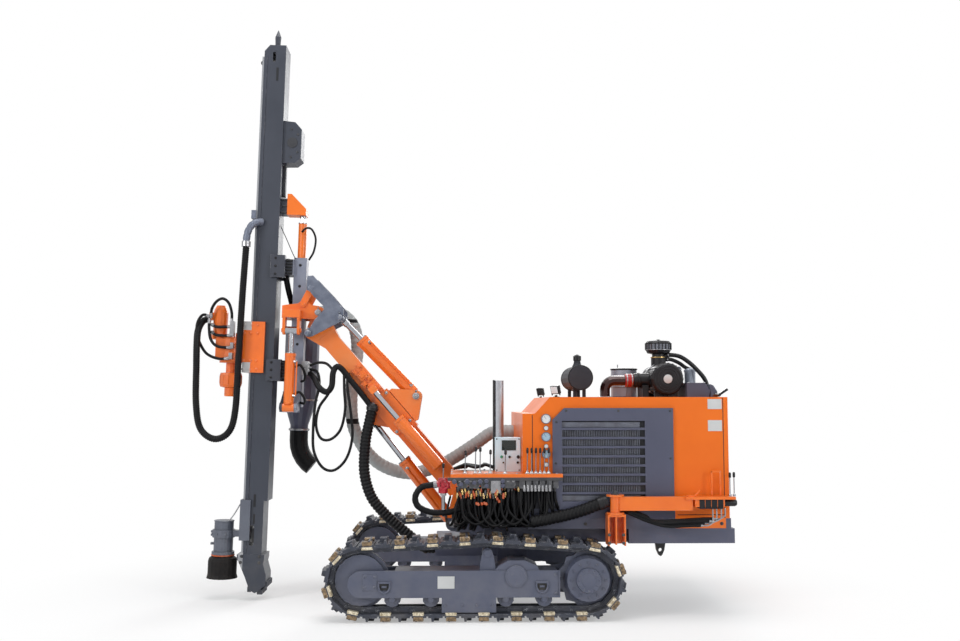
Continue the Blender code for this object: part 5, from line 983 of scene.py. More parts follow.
for k in range(30):
    x = -0.14 + 0.027 * k
    y = -0.70 + 0.10 * random.random()
    low = 0.70 + 0.07 * random.random()
    route = [spot(x, y - 0.16, BANK_BOTTOM), spot(x + 0.01, y - 0.15, 0.98), spot(x + 0.03, y - 0.10, 0.86),
             spot(x - 0.02, y, low), spot(x - 0.01, y + 0.10, low + 0.05), spot(x, -0.46, 0.90)]
    line = evenly(smooth_route(route, 8), 0.024)
    sweep(hoses, line, [0.016] * len(line), 8)
for k in range(34):
    place = spot(-0.150 + 0.0125 * k + 0.010 * random.random(), -0.980 + 0.022 * random.random(),
                 1.040 + 0.045 * random.random())
    kind = (yellows, caps, caps, yellows, dull)[k % 5]
    thick = 0.006 + 0.003 * random.random()
    leaning = Vector((0.5 * (random.random() - 0.5), -0.1, -1.0))
    lathe(kind, place, leaning, [(0.0, thick), (0.014, thick), (0.015, thick * 1.4), (0.026, thick * 1.4),
                                 (0.027, thick * 0.9), (0.046, thick * 0.9)], 8)
for x, z in ((0.016, 0.972), (0.030, 0.966), (0.060, 0.970), (0.082, 0.974), (0.098, 0.968), (0.190, 1.010),
             (0.205, 0.990)):
    lathe(caps, spot(x, -0.985, z), Vector((0.3, -0.1, -1.0)),
          [(0.0, 0.007), (0.010, 0.011), (0.022, 0.011), (0.026, 0.006)], 8)
plugs = bmesh.new()
for x, z, wide in ((-0.168, 1.132, 0.021), (-0.112, 1.108, 0.019), (-0.061, 1.134, 0.022),
                   (0.000, 1.122, 0.019),
                   (0.049, 1.132, 0.020), (0.102, 1.136, 0.018), (0.104, 1.098, 0.018), (0.240, 1.136, 0.019),
                   (0.242, 1.098, 0.018)):
    lathe(plugs, spot(x, -0.982, z + 0.010), out,
          [(0.0, wide), (0.012, wide), (0.014, wide * 0.8), (0.019, wide * 0.75)], 16)
piece("valve_plugs", plugs, SLATE, "carrier", bevel=0.001)
# A dark band along the deck plate's lower lip and a dark sheet below it in front of the valves are painted
# shade under the plate's edge.
rim_band = bmesh.new()
DECK_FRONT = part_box("control_deck")[0].y
block(rim_band, spot(-0.226, DECK_FRONT - 0.004, 1.149), spot(0.752, DECK_FRONT + 0.010, 1.176))
block(rim_band, spot(0.250, -0.955, 1.085), spot(0.715, -0.948, 1.148))
piece("deck_lip_painted_shade", rim_band, ENGINE_GREY, "carrier", bevel=0.002)
for k in range(7):
    y = -0.60 + 0.026 * k
    rise = DECK_TOP + 0.020
    route = [spot(-0.175 + 0.02 * k, y, rise), spot(-0.08, y + 0.02, rise + 0.030),
             spot(0.02 + 0.01 * k, y - 0.01, rise + 0.012),
             spot(0.10, y + 0.01, rise + 0.034), spot(0.172, y, rise + 0.010)]
    line = evenly(smooth_route(route, 8), 0.020)
    sweep(hoses, line, [0.013] * len(line), 8)
for k in range(8):
    x = 0.424 + 0.031 * k
    lathe(fittings, spot(x, -0.968, 1.112), -UP,
          [(0.0, 0.008), (0.020, 0.010), (0.022, 0.013), (0.052, 0.013), (0.055, 0.008)], 10)
for k in range(11):
    bolt(fittings, spot(-0.120 + 0.045 * k, -0.974, 1.150), out, 0.009)
block(fittings, spot(0.140, -0.984, 1.045), spot(0.222, -0.978, 1.165))
piece("valve_fittings", fittings, ZINC, "carrier")
piece("valve_fittings_dull", dull, ENGINE_GREY, "carrier")
piece("valve_caps_orange", caps, BURNT, "carrier")
piece("valve_caps_yellow", yellows, BRASS, "carrier")
piece("deck_hose_curtain", hoses, RUBBER, "carrier", angle=70.0)
small = bmesh.new()
for x, y in ((-0.19, -0.97), (-0.19, -0.70), (-0.19, -0.44), (0.10, -0.97), (0.36, -0.97), (0.70, -0.97),
             (0.10, -0.44)):
    bolt(small, spot(x, y, DECK_TOP), UP, 0.007)
piece("deck_bolts", small, ZINC, "carrier")
cuff = bmesh.new()
lathe(cuff, spot(1.052, -0.9525, 0.9483), Vector((0.94, 0.0, 0.34)),
      [(0.0, 0.0525), (0.002, 0.056), (0.030, 0.056), (0.032, 0.059), (0.046, 0.059), (0.048, 0.055),
       (0.080, 0.052)], 28)
piece("deck_hose_cuff", cuff, BLACK, "carrier")
ring = [spot(-0.262 + 0.040 * math.cos(a), -0.941,
             1.115 + 0.040 * math.sin(a)) for a in (math.tau * k / 30 for k in range(31))]
flange = bmesh.new()
sweep(flange, ring, [0.008] * len(ring), 8)
for k in range(6):
    angle = math.tau * k / 6
    bolt(flange, spot(-0.262 + 0.030 * math.cos(angle), -0.941, 1.115 + 0.030 * math.sin(angle)), out, 0.006)
piece("shutoff_valve_flange", flange, RED_PAINT, "carrier")
feed, elbow = bmesh.new(), bmesh.new()
line = evenly(smooth_route([spot(-0.318, -0.90, 1.112), spot(-0.370, -0.905, 1.108),
                            spot(-0.450, -0.905, 1.088),
                            spot(-0.500, -0.900, 1.010), spot(-0.478, -0.890, 0.930),
                            spot(-0.385, -0.880, 0.882),
                            spot(-0.285, -0.870, 0.872), spot(-0.190, -0.860, 0.880),
                            spot(-0.120, -0.850, 0.900)], 10), 0.012)
sweep(feed, line, [0.027 - 0.002 * (k % 4 == 0) for k in range(len(line))], 14)
lathe(elbow, line[0], line[3] - line[0], [(-0.012, 0.020), (0.0, 0.030), (0.030, 0.030), (0.031, 0.026)], 8)
bar(elbow, spot(-0.262, -0.90, 1.060), spot(-0.262, -0.892, 0.900), 0.016)
lathe(elbow, spot(-0.262, -0.90, 1.050), -UP, [(0.0, 0.026), (0.030, 0.026), (0.032, 0.018)], 8)
piece("shutoff_valve_hose", feed, RUBBER, "carrier", angle=70.0)
piece("shutoff_valve_elbow", elbow, ZINC, "carrier")

# Boom seat and boom: heavy welded plate, bright orange, with greased pins held by bolted
# keeper plates. Steel pipes and thin hoses run along the side of the outer boom in clamps.
BOOM_ANGLE = math.radians(49.1)
BOOM_FOOT = (-0.100, 0.965)


def on_boom(u, v, y):
    """A place u along the boom from its foot pin and v square on its back."""
    c, s = math.cos(BOOM_ANGLE), math.sin(BOOM_ANGLE)
    return spot(BOOM_FOOT[0] - c * u + s * v, y, BOOM_FOOT[1] + s * u + c * v)


BOOM_ORANGE = finish("boom_orange", (0.87, 0.180, 0.014), (0.80, 0.150, 0.012), (0.60, 0.40, 0.30), 0.34,
                     coat=0.45,
                     bared_metal=0.15, wear=0.55, dust=0.10, fade=0.9, patch=3.0, grain=140.0, bump=0.10)
INNER_ORANGE = finish("inner_boom_orange", (0.87, 0.180, 0.014), (0.82, 0.235, 0.060), (0.60, 0.42, 0.34),
                      0.34, coat=0.4,
                      bared_metal=0.15, wear=0.6, dust=0.12, patch=4.0, grain=140.0, bump=0.10,
                      zones=[([((0.0, 1.0, 0.0), -0.198, -0.144), ((1.0, 0.0, 0.0), -0.765, -0.30)],
                              (0.42, 0.43, 0.46), 0.16, 1.0)])
SEAT_PAINT = finish("seat_paint", (0.84, 0.170, 0.012), (0.76, 0.145, 0.012), (0.60, 0.40, 0.30), 0.36,
                    coat=0.2,
                    bared_metal=0.15, wear=0.55, dust=0.15, fade=0.9, patch=3.0, grain=140.0, bump=0.10,
                    zones=[([((0.0, 0.0, 1.0), 0.0, 0.745)], (0.060, 0.066, 0.100), 0.45, 0.0)])
for node, paint in (("boom_seat", SEAT_PAINT), ("boom_outer", BOOM_ORANGE), ("boom_inner", INNER_ORANGE),
                    ("lift_barrel", BOOM_ORANGE), ("lift_rod", CHROME), ("tilt_barrel", BOOM_ORANGE),
                    ("tilt_rod", CHROME),
                    ("rocker_link_left", BOOM_ORANGE), ("rocker_link_right", BOOM_ORANGE),
                    ("tilt_arm", BOOM_ORANGE),
                    ("roll_barrel", BOOM_ORANGE), ("roll_rod", CHROME), ("chuck", BOOM_ORANGE),
                    ("console_post", BOOM_ORANGE), ("console_arm", BOOM_ORANGE)):
    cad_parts[node].data.materials[0] = paint


def pin_cap(bm, place, side, radius):
    """A pin's turned end with a grease nipple and its keeper bolt."""
    out = Vector((0.0, side, 0.0))
    lathe(bm, place, out,
          [(0.0, radius * 1.35), (0.006, radius * 1.35), (0.007, radius), (0.013, radius * 0.9)], 24)
    lathe(bm, place + out * 0.012, out,
          [(0.0, radius * 0.22), (0.006, radius * 0.2), (0.010, radius * 0.1)], 10)
    bolt(bm, place + UP * radius * 1.9 - out * 0.014, out, 0.007)


seat_pins, boom_pins, inner_pins = bmesh.new(), bmesh.new(), bmesh.new()
for side in (LEFT, RIGHT):
    pin_cap(seat_pins, spot(-0.100, side * 0.162, 0.965), side, 0.032)
    pin_cap(seat_pins, spot(-0.185, side * 0.162, 0.690), side, 0.025)
    pin_cap(boom_pins, on_boom(1.079, -0.193, side * 0.088), side, 0.025)
    pin_cap(inner_pins, on_boom(0.965, 0.265, side * 0.102), side, 0.024)
piece("seat_pin_caps", seat_pins, ZINC, "boom_seat")
piece("boom_pin_caps", boom_pins, ZINC, "boom_outer")
piece("tilt_base_pin_caps", inner_pins, ZINC, "boom_inner")
boom_bolts, castings = bmesh.new(), bmesh.new()
stand = Matrix((on_boom(1, 0, 0) - on_boom(0, 0, 0), Vector((0, 1, 0)),
                on_boom(0, 1, 0) - on_boom(0, 0, 0))).transposed().to_4x4()
for u, v, long, high in ((1.290, 0.020, 0.055, 0.050), (1.360, -0.035, 0.030, 0.034),
                         (1.385, 0.045, 0.026, 0.020),
                         (1.440, 0.010, 0.040, 0.044), (1.505, -0.030, 0.028, 0.020),
                         (1.530, 0.040, 0.022, 0.022)):
    place = Matrix.Translation(on_boom(u, v, -0.084)) @ stand
    block(castings, (-long, -0.016, -high), (long, 0.010, high), place)
    block(castings, (-long * 0.5, -0.026, -high * 0.5), (long * 0.4, -0.014, high * 0.5), place)
    bolt(castings, place @ Vector((long * 0.7, -0.016, -high * 0.6)), TO_LEFT, 0.006)
piece("inner_boom_castings", castings, BOOM_ORANGE, "boom_inner", bevel=0.004)
for u in (0.830, 1.170):
    for v in (-0.085, 0.075):
        for side in (LEFT, RIGHT):
            bolt(boom_bolts, on_boom(u, v, side * 0.1045), Vector((0.0, side, 0.0)), 0.010)
piece("boom_bolts", boom_bolts, ZINC, "boom_outer")
cuff = bmesh.new()
lathe(cuff, spot(-0.9375, -0.1577, 1.732), Vector((0.205, 0.024, 0.978)),
      [(0.0, 0.0505), (0.002, 0.055), (0.016, 0.055), (0.017, 0.058), (0.030, 0.058), (0.031, 0.054),
       (0.050, 0.050),
       (0.066, 0.036)], 28)
piece("boom_hose_cuff", cuff, BLACK, "boom_outer")
collars = bmesh.new()
direction = on_boom(1, 0, 0) - on_boom(0, 0, 0)
lathe(collars, on_boom(0.908, 0.005, 0.172), direction,
      [(0.0, 0.0625), (0.002, 0.0645), (0.012, 0.0645), (0.014, 0.030)], 28)
piece("side_cylinder_gland", collars, ZINC, "boom_outer")
LIFT_BASE, LIFT_EYE = spot(-0.185, 0.0, 0.690), on_boom(1.079, -0.193, 0.0)
TILT_BASE, TILT_EYE = on_boom(0.965, 0.265, 0.0), spot(-1.243, 0.0, 2.597)


def cylinder_fittings(name, body, base, tip, radius, end, side):
    """Gland ring at the barrel's mouth, two ports with elbows and a steel pipe between them."""
    along = (tip - base).normalized()
    out = (side - along * side.dot(along)).normalized()
    bm, pipes = bmesh.new(), bmesh.new()
    lathe(bm, base + along * (end - 0.002), along,
          [(0.0, radius * 0.98), (0.002, radius), (0.012, radius), (0.014, radius * 0.5)], 24)
    for reach in (0.11, end - 0.075):
        start = base + along * reach + out * radius * 0.92
        lathe(bm, start, out, [(0.0, 0.017), (0.014, 0.017), (0.015, 0.012), (0.026, 0.012)], 10)
    line = [base + along * 0.11 + out * (radius + 0.020), base + along * 0.16 + out * (radius + 0.022),
            base + along * (end - 0.13) + out * (radius + 0.022),
            base + along * (end - 0.075) + out * (radius + 0.020)]
    line = evenly(smooth_route(line, 8), 0.02)
    sweep(pipes, line, [0.0075] * len(line), 10)
    piece(name + "_gland", bm, ZINC, body)
    piece(name + "_pipe", pipes, BOOM_ORANGE, body, angle=70.0)


cylinder_fittings("lift", "lift_barrel", LIFT_BASE, LIFT_EYE, 0.062, 0.735, Vector((-0.4, -1.0, 0.0)))
cylinder_fittings("tilt", "tilt_barrel", TILT_BASE, TILT_EYE, 0.065, 0.745, Vector((0.5, -1.0, 0.5)))

# Head linkage: a grey rocker whose paint is scratched through, two short links and the tilt
# arm in orange, all on turned pins with bolted caps.
SCRATCHED = finish("scratched_grey", (0.105, 0.122, 0.170), (0.180, 0.200, 0.255), (0.62, 0.63, 0.65), 0.40,
                   metal=0.25,
                   bared_metal=0.9, wear=1.0, dust=0.10, patch=11.0, grain=70.0, bump=0.25)
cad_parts["rocker"].data.materials[0] = SCRATCHED
rocker_caps, arm_caps = bmesh.new(), bmesh.new()
for side in (LEFT, RIGHT):
    pin_cap(rocker_caps, spot(-1.534, side * 0.207, 2.4515), side, 0.022)
    pin_cap(rocker_caps, spot(-1.243, side * 0.207, 2.597), side, 0.022)
    lathe(rocker_caps, spot(-1.5126, side * 0.1945, 2.874), Vector((0.0, side, 0.0)),
          [(0.0, 0.026), (0.006, 0.026), (0.010, 0.016)], 20)
    pin_cap(arm_caps, spot(-1.448, side * 0.162, 2.646), side, 0.022)
piece("rocker_caps", rocker_caps, SCRATCHED, "rocker")
piece("tilt_arm_caps", arm_caps, ZINC, "tilt_arm")

# Mast carrier: a grey slide beam with rubber-faced claws round the mast, the compensating
# cylinder in orange on top, the roll cylinder on its left side and the dust cyclone at the back.
LEAN = Matrix.Translation(spot(-1.448, 0.0, 2.646)) @ Matrix.Rotation(math.radians(1.4), 4,
        "Y") @ Matrix.Translation(-spot(-1.448, 0.0, 2.646))
FORE = LEAN.to_3x3() @ ALONG
RISE = LEAN.to_3x3() @ UP


def on_mast(x, y, z):
    """A place on the upright mast, leaned with it about the tilt pin."""
    return LEAN @ spot(x, y, z)


def fore_of(x):
    """How far an upright x lies along the leaned fore direction."""
    return LEAN.translation.dot(FORE) + x + TRACK_MIDDLE_X


def rise_of(z):
    return LEAN.translation.dot(RISE) + z


CRADLE_GREY = finish("cradle_grey", (0.200, 0.218, 0.285), (0.260, 0.278, 0.340), (0.45, 0.45, 0.46), 0.42,
                     coat=0.1, wear=0.7,
                     dust=0.10, patch=5.0, grain=110.0, bump=0.12,
                     zones=[([(tuple(FORE), fore_of(-1.95), fore_of(-1.709))], (0.040, 0.044, 0.060), 0.42,
                             0.0),
                            ([(tuple(FORE), fore_of(-1.69), fore_of(-1.60)),
                              (tuple(RISE), rise_of(3.172), rise_of(3.6))],
                             (0.86, 0.175, 0.012), 0.34, 0.0)])
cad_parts["cradle"].data.materials[0] = CRADLE_GREY
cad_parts["cyclone"].data.materials[0] = SLATE
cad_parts["cyclone_boot"].data.materials[0] = RUBBER
bright, black, thin = bmesh.new(), bmesh.new(), bmesh.new()
for low, high in ((2.970, 3.180), (2.000, 2.200)):
    for side in (LEFT, RIGHT):
        for z in (low + 0.03, (low + high) / 2, high - 0.03):
            bolt(black, on_mast(-1.862, side * 0.1600, z), Vector((0.0, side, 0.0)), 0.008)
    for k in range(5):
        z = low + 0.045 + 0.030 * k
        for side in (LEFT, RIGHT):
            bar(black, on_mast(-1.795, side * 0.096, z), on_mast(-1.715, side * 0.096, z), 0.009)
lathe(bright, on_mast(-1.645, 0.0, 3.503), RISE,
      [(0.0, 0.0395), (0.002, 0.043), (0.010, 0.043), (0.012, 0.021)], 24)
for side in (LEFT, RIGHT):
    for z in (1.85, 2.35, 2.90, 3.10):
        bolt(black, on_mast(-1.645, side * 0.060, z), Vector((0.0, side, 0.0)), 0.009)
c = on_mast(-1.680, 0.480, 2.50)
for reach, radius in ((0.668, 0.1715), (0.958, 0.100)):
    lathe(bright, c - RISE * (reach - 0.004), -RISE,
          [(0.0, radius), (0.001, radius + 0.003), (0.016, radius + 0.003), (0.017, radius)], 36)
for k in range(10):
    angle = math.tau * k / 10
    bolt(bright, c - RISE * 0.004 + (FORE * math.cos(angle) + Vector((0, 1, 0)) * math.sin(angle)) * 0.152,
         RISE, 0.008)
roll_low, roll_high = on_mast(-1.680, -0.205, 1.755), on_mast(-1.680, -0.205, 2.470)
ROUTED = (  # thin hoses on the carrier beam: radius and points, upright
    (0.010, ((-1.645, -0.048, 3.42), (-1.600, -0.070, 3.455), (-1.545, -0.085, 3.440),
             (-1.505, -0.090, 3.350),
             (-1.520, -0.085, 3.230), (-1.565, -0.068, 3.150))),
    (0.028, ((-1.815, 0.02, 3.160), (-1.800, 0.02, 3.050), (-1.770, 0.03, 2.900), (-1.745, 0.09, 2.780),
             (-1.735, 0.165, 2.700))),
    (0.012, ((-1.628, -0.212, 2.130), (-1.585, -0.225, 2.150), (-1.548, -0.205, 2.090),
             (-1.550, -0.140, 2.020),
             (-1.590, -0.070, 2.000))),
    (0.012, ((-1.628, -0.212, 1.880), (-1.580, -0.225, 1.900), (-1.540, -0.205, 1.850),
             (-1.545, -0.130, 1.800),
             (-1.590, -0.070, 1.800))),
)
for radius, points in ROUTED:
    line = evenly(smooth_route([on_mast(*p) for p in points], 10), 0.014)
    sweep(thin, line, [radius] * len(line), 10)
chain = evenly(smooth_route([on_mast(-1.845, -0.075, 3.470), on_mast(-1.780, -0.080, 3.340),
                             on_mast(-1.715, -0.075, 3.200),
                             on_mast(-1.690, -0.064, 3.160)], 8), 0.012)
sweep(thin, chain, [0.004] * len(chain), 6)
block(bright, spot(-1.588, -0.110, 2.065), spot(-1.528, -0.020, 2.190), LEAN)
for z in (2.095, 2.130, 2.165):
    lathe(bright, on_mast(-1.530, -0.085, z), FORE,
          [(0.0, 0.014), (0.016, 0.014), (0.018, 0.010), (0.030, 0.010)], 8)
piece("cradle_bright_fittings", bright, ZINC, "cradle")
piece("cradle_dark_fittings", black, BLACK, "cradle")
piece("cradle_hoses", thin, RUBBER, "cradle", angle=70.0)
cylinder_fittings("roll", "roll_barrel", roll_low, roll_high, 0.048, 0.500, Vector((1.0, -0.4, 0.0)))

# Free hose loops between the boom's head and the tilt arm: four thin black rubber hoses that
# sag under their own weight.
loops = bmesh.new()
LOOPS = (
    ((-1.525, -0.085, 2.155), (-1.440, -0.110, 2.180), (-1.350, -0.150, 2.160), (-1.285, -0.190, 2.060),
     (-1.330, -0.205, 1.900),
     (-1.420, -0.205, 1.760), (-1.445, -0.205, 1.600), (-1.400, -0.205, 1.480), (-1.310, -0.205, 1.470),
     (-1.220, -0.205, 1.560), (-1.180, -0.205, 1.740), (-1.190, -0.200, 1.920), (-1.195, -0.185, 2.060)),
    ((-1.525, -0.085, 2.120), (-1.450, -0.120, 2.090), (-1.425, -0.170, 1.960), (-1.455, -0.200, 1.800),
     (-1.470, -0.215, 1.560),
     (-1.460, -0.215, 1.360), (-1.380, -0.215, 1.215), (-1.270, -0.215, 1.190), (-1.160, -0.215, 1.300),
     (-1.110, -0.210, 1.500), (-1.130, -0.205, 1.740), (-1.165, -0.190, 1.980), (-1.150, -0.170, 2.080)),
    ((-1.530, -0.070, 2.085), (-1.480, -0.140, 2.040), (-1.420, -0.200, 1.945), (-1.350, -0.210, 1.905),
     (-1.305, -0.210, 1.960),
     (-1.295, -0.205, 2.080), (-1.262, -0.195, 2.140), (-1.215, -0.185, 2.115), (-1.160, -0.175, 2.045),
     (-1.080, -0.165, 1.945),
     (-1.000, -0.160, 1.845), (-0.945, -0.157, 1.772)),
    ((-1.230, -0.150, 2.120), (-1.150, -0.150, 2.020), (-1.050, -0.140, 1.900), (-0.960, -0.135, 1.800),
     (-0.935, -0.140, 1.765)),
)
for points, radius in zip(LOOPS, (0.013, 0.013, 0.028, 0.020)):
    line = evenly(smooth_route([spot(*p) for p in points], 10), 0.014)
    sweep(loops, line, [radius] * len(line), 10)
hung = piece("boom_head_loops", loops, RUBBER, None, angle=70.0)
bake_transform(hung)

# Mast: a long box beam in dark blue-grey with two polished rails on its front, a sheave at
# its top, the feed chain's case behind, and a toothed foot.
MAST_PAINT = finish("mast_paint", (0.029, 0.035, 0.051), (0.038, 0.044, 0.062), (0.24, 0.24, 0.26), 0.42,
                    coat=0.2, wear=0.55,
                    dust=0.16, fade=0.9, patch=2.0, grain=120.0, bump=0.10,
                    zones=[([(tuple(FORE), fore_of(-2.10), fore_of(-2.0560))], (0.30, 0.31, 0.33), 0.36, 0.5),
                           ([(tuple(FORE), fore_of(-1.790), fore_of(-1.600)),
                             (tuple(RISE), rise_of(3.570), rise_of(3.800))],
                            (0.86, 0.175, 0.012), 0.36, 0.0),
                           ([(tuple(FORE), fore_of(-1.672), fore_of(-1.600)),
                             (tuple(RISE), rise_of(2.700), rise_of(3.5784))],
                            (0.74, 0.75, 0.77), 0.15, 1.0)])
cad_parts["mast_beam"].data.materials[0] = MAST_PAINT
dark, bright, teeth, lines = bmesh.new(), bmesh.new(), bmesh.new(), bmesh.new()
slot_shade = bmesh.new()
for side in (LEFT, RIGHT):
    out = Vector((0.0, side, 0.0))
    face = side * 0.125
    lift = out * 0.001
    # The near-black strips on each side are painted shade standing in for the slots in the side plates.
    strip(slot_shade, on_mast(-1.925, face, 4.860), on_mast(-1.925, face, 4.990), FORE, lift, 0.011)
    strip(slot_shade, on_mast(-1.968, face, 0.835), on_mast(-1.968, face, 0.950), FORE, lift, 0.011)
    strip(slot_shade, on_mast(-1.968, face, 0.680), on_mast(-1.968, face, 0.770), FORE, lift, 0.008)
    strip(slot_shade, on_mast(-1.972, face, 0.510), on_mast(-1.972, face, 0.640), FORE, lift, 0.011)
    strip(lines, on_mast(-2.030, face, 0.900), on_mast(-2.030, face, 5.080), FORE, out * 0.0012, 0.0035)
    for x, z in ((-1.770, 4.130), (-1.770, 4.400), (-1.710, 4.180), (-1.710, 4.350)):
        bolt(dark, on_mast(x, side * 0.100, z), out, 0.008)
    lathe(dark, on_mast(-1.760, side * 0.100, 4.270), out, [(0.0, 0.050), (0.006, 0.048), (0.008, 0.020)], 28)
    for x, z in ((-2.075, 0.330), (-1.905, 0.330), (-2.065, 0.385), (-1.905, 0.385)):
        bolt(dark, on_mast(x, side * 0.130, z), out, 0.010)
bar(dark, on_mast(-2.082, -0.040, 5.060), on_mast(-2.082, 0.040, 5.060), 0.022, 18)
block(dark, spot(-2.070, -0.045, 5.030), spot(-2.040, 0.045, 5.090), LEAN)
for z in (3.600, 3.660, 3.720):
    bar(dark, on_mast(-1.845, -0.078, z), on_mast(-1.795, -0.078, z), 0.008)
block(dark, spot(-1.846, -0.030, 3.760), spot(-1.822, 0.030, 4.060), LEAN)
for k in range(5):
    y = -0.104 + 0.052 * k
    turn = LEAN @ Matrix.Translation(spot(-1.905, y, 0.072))
    block(teeth, (-0.010, -0.014, -0.030), (0.040, 0.014, 0.016), turn)
    turn = LEAN @ Matrix.Translation(spot(-1.985, y, 0.096))
    block(teeth, (-0.020, -0.014, -0.034), (0.016, 0.014, 0.016), turn)
    turn = LEAN @ Matrix.Translation(spot(-1.842, y, 0.150))
    block(teeth, (-0.020, -0.014, -0.040), (0.022, 0.014, 0.010), turn)
lathe(bright, on_mast(-1.645, 0.0, 3.560), RISE, [(0.0, 0.030), (0.018, 0.030)], 20)
saddle = bmesh.new()
arc = [spot(-2.116, -0.220, 3.255), spot(-2.113, -0.218, 3.330), spot(-2.100, -0.210, 3.405),
       spot(-2.066, -0.190, 3.470),
       spot(-2.020, -0.160, 3.500), spot(-1.990, -0.130, 3.505)]
arc = evenly(smooth_route(arc, 8), 0.012)
sweep(saddle, arc, [0.034 - 0.004 * (k % 5 == 0) for k in range(len(arc))], 14)
block(saddle, spot(-2.110, -0.150, 3.520), spot(-2.068, -0.040, 3.600), LEAN)
lathe(bright, arc[0], arc[1] - arc[0], [(0.0, 0.036), (0.001, 0.041), (0.050, 0.041), (0.051, 0.036)], 20)
piece("mast_dark_fittings", dark, ENGINE_GREY, "mast")
piece("mast_slot_painted_shade", slot_shade, DARK_MARKS_AND_HOLE_SHADE, "mast")
piece("mast_side_ribs", lines, SCRATCHED, "mast")
piece("mast_foot_teeth", teeth, TRACK_PAINT, "mast", bevel=0.004)
piece("mast_rod_nut", bright, ZINC, "mast")
piece("mast_hose_saddle", saddle, SCRATCHED, "mast")

# Dust hood at the mast's foot: a split steel collar with hinge lugs, an orange seal ring and a
# thick black rubber skirt that closes on the ground round the hole.
HOOD_PAINT = finish("hood_paint", (0.120, 0.132, 0.165), (0.098, 0.108, 0.138), (0.34, 0.34, 0.36), 0.44,
                    coat=0.1, wear=0.6,
                    dust=0.22, fade=0.8, patch=4.0, grain=90.0, bump=0.18)
SKIRT = finish("skirt_rubber", (0.007, 0.007, 0.008), (0.013, 0.011, 0.011), (0.05, 0.04, 0.04), 0.58,
               bared_metal=0.0,
               wear=0.5, dust=0.08, fade=0.5, patch=7.0, grain=160.0, bump=0.2, shiny=0.15)
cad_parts["dust_hood"].data.materials[0] = HOOD_PAINT
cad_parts["hood_skirt"].data.materials[0] = SKIRT
lugs, rim_band, wire = bmesh.new(), bmesh.new(), bmesh.new()
drill = on_mast(-2.266, 0.0, 0.0)
ring = [drill + RISE * 0.3775 + (FORE * math.cos(a) + Vector((0, 1,
        0)) * math.sin(a)) * 0.1015 for a in (math.tau * k / 40 for k in range(41))]
sweep(rim_band, ring, [0.0068] * len(ring), 10)
for z in (0.480, 0.560, 0.590):
    block(lugs, spot(-2.382, -0.020, z - 0.010), spot(-2.352, 0.020, z + 0.010), LEAN)
    bolt(lugs, on_mast(-2.366, -0.020, z), TO_LEFT, 0.007)
for k in range(8):
    angle = math.tau * (k + 0.5) / 8
    spoke = FORE * math.cos(angle) + Vector((0, 1, 0)) * math.sin(angle)
    bolt(lugs, drill + RISE * 0.575 + spoke * 0.1035, spoke, 0.007)
lathe(lugs, drill + RISE * 0.684, RISE, [(0.0, 0.0885), (0.002, 0.092), (0.010, 0.092), (0.0105, 0.0760)], 36)
line = evenly(smooth_route([on_mast(-2.215, -0.04, 0.690), on_mast(-2.165, -0.05, 0.760),
                            on_mast(-2.115, -0.05, 0.850)], 6), 0.014)
sweep(wire, line, [0.006] * len(line), 8)
piece("hood_lugs", lugs, HOOD_PAINT, "mast")
piece("hood_seal_ring", rim_band, BURNT, "mast")
piece("hood_wire", wire, ZINC, "mast")

# Drill head: a cast gearbox on a carriage that runs on the mast's rails, an orange hydraulic
# motor on top and curved high-pressure hoses with zinc elbows round it.
SHOES_AT = ((2.060, 2.165), (2.465, 2.560))
HEAD_ORANGE = finish("head_orange", (0.88, 0.170, 0.012), (0.80, 0.145, 0.012), (0.65, 0.42, 0.30), 0.36,
                     coat=0.4,
                     bared_metal=0.1, wear=0.6, dust=0.08, patch=7.0, grain=80.0, bump=0.20,
                     zones=[([(tuple(FORE), fore_of(-2.140), fore_of(-2.058)),
                              (tuple(RISE), rise_of(low), rise_of(high))],
                             (0.55, 0.54, 0.54), 0.42, 0.3) for low, high in SHOES_AT])
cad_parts["drill_head"].data.materials[0] = HEAD_ORANGE
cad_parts["chuck"].data.materials[0] = HEAD_ORANGE
head_hoses, ends, bolts = bmesh.new(), bmesh.new(), bmesh.new()
HEAD_HOSES = (
    ((-2.459, -0.075, 2.600), (-2.450, -0.100, 2.680), (-2.405, -0.115, 2.750), (-2.343, -0.120, 2.779),
     (-2.285, -0.125, 2.735), (-2.255, -0.130, 2.640), (-2.255, -0.135, 2.540)),
    ((-2.470, -0.050, 2.610), (-2.530, -0.085, 2.630), (-2.572, -0.105, 2.570), (-2.580, -0.120, 2.480),
     (-2.549, -0.135, 2.370),
     (-2.477, -0.150, 2.263), (-2.369, -0.155, 2.215), (-2.262, -0.150, 2.218)),
    ((-2.475, -0.075, 2.590), (-2.468, -0.110, 2.500), (-2.445, -0.130, 2.395), (-2.380, -0.140, 2.330),
     (-2.244, -0.145, 2.316)),
    ((-2.455, -0.078, 2.540), (-2.400, -0.120, 2.515), (-2.320, -0.135, 2.512), (-2.240, -0.140, 2.514)),
    ((-2.450, -0.080, 2.470), (-2.400, -0.125, 2.438), (-2.320, -0.140, 2.430), (-2.240, -0.145, 2.433)),
)
for points in HEAD_HOSES:
    line = evenly(smooth_route([spot(*p) for p in points], 10), 0.012)
    sweep(head_hoses, line, [0.0135] * len(line), 12)
    for a, b in ((line[0], line[2]), (line[-1], line[-3])):
        lathe(ends, a, b - a,
              [(0.0, 0.015), (0.012, 0.015), (0.013, 0.018), (0.030, 0.018), (0.031, 0.0155),
               (0.050, 0.0155)], 8)
block(ends, spot(-2.262, -0.160, 2.190), spot(-2.228, -0.100, 2.250), LEAN)
block(ends, spot(-2.252, -0.158, 2.290), spot(-2.222, -0.100, 2.345), LEAN)
block(ends, spot(-2.262, -0.158, 2.405), spot(-2.222, -0.100, 2.545), LEAN)
for side in (LEFT, RIGHT):
    for x in (-2.122, -2.060, -2.000):
        for z in (2.100, 2.180, 2.436, 2.516):
            bolt(bolts, on_mast(x, side * 0.162, z), Vector((0.0, side, 0.0)), 0.010)
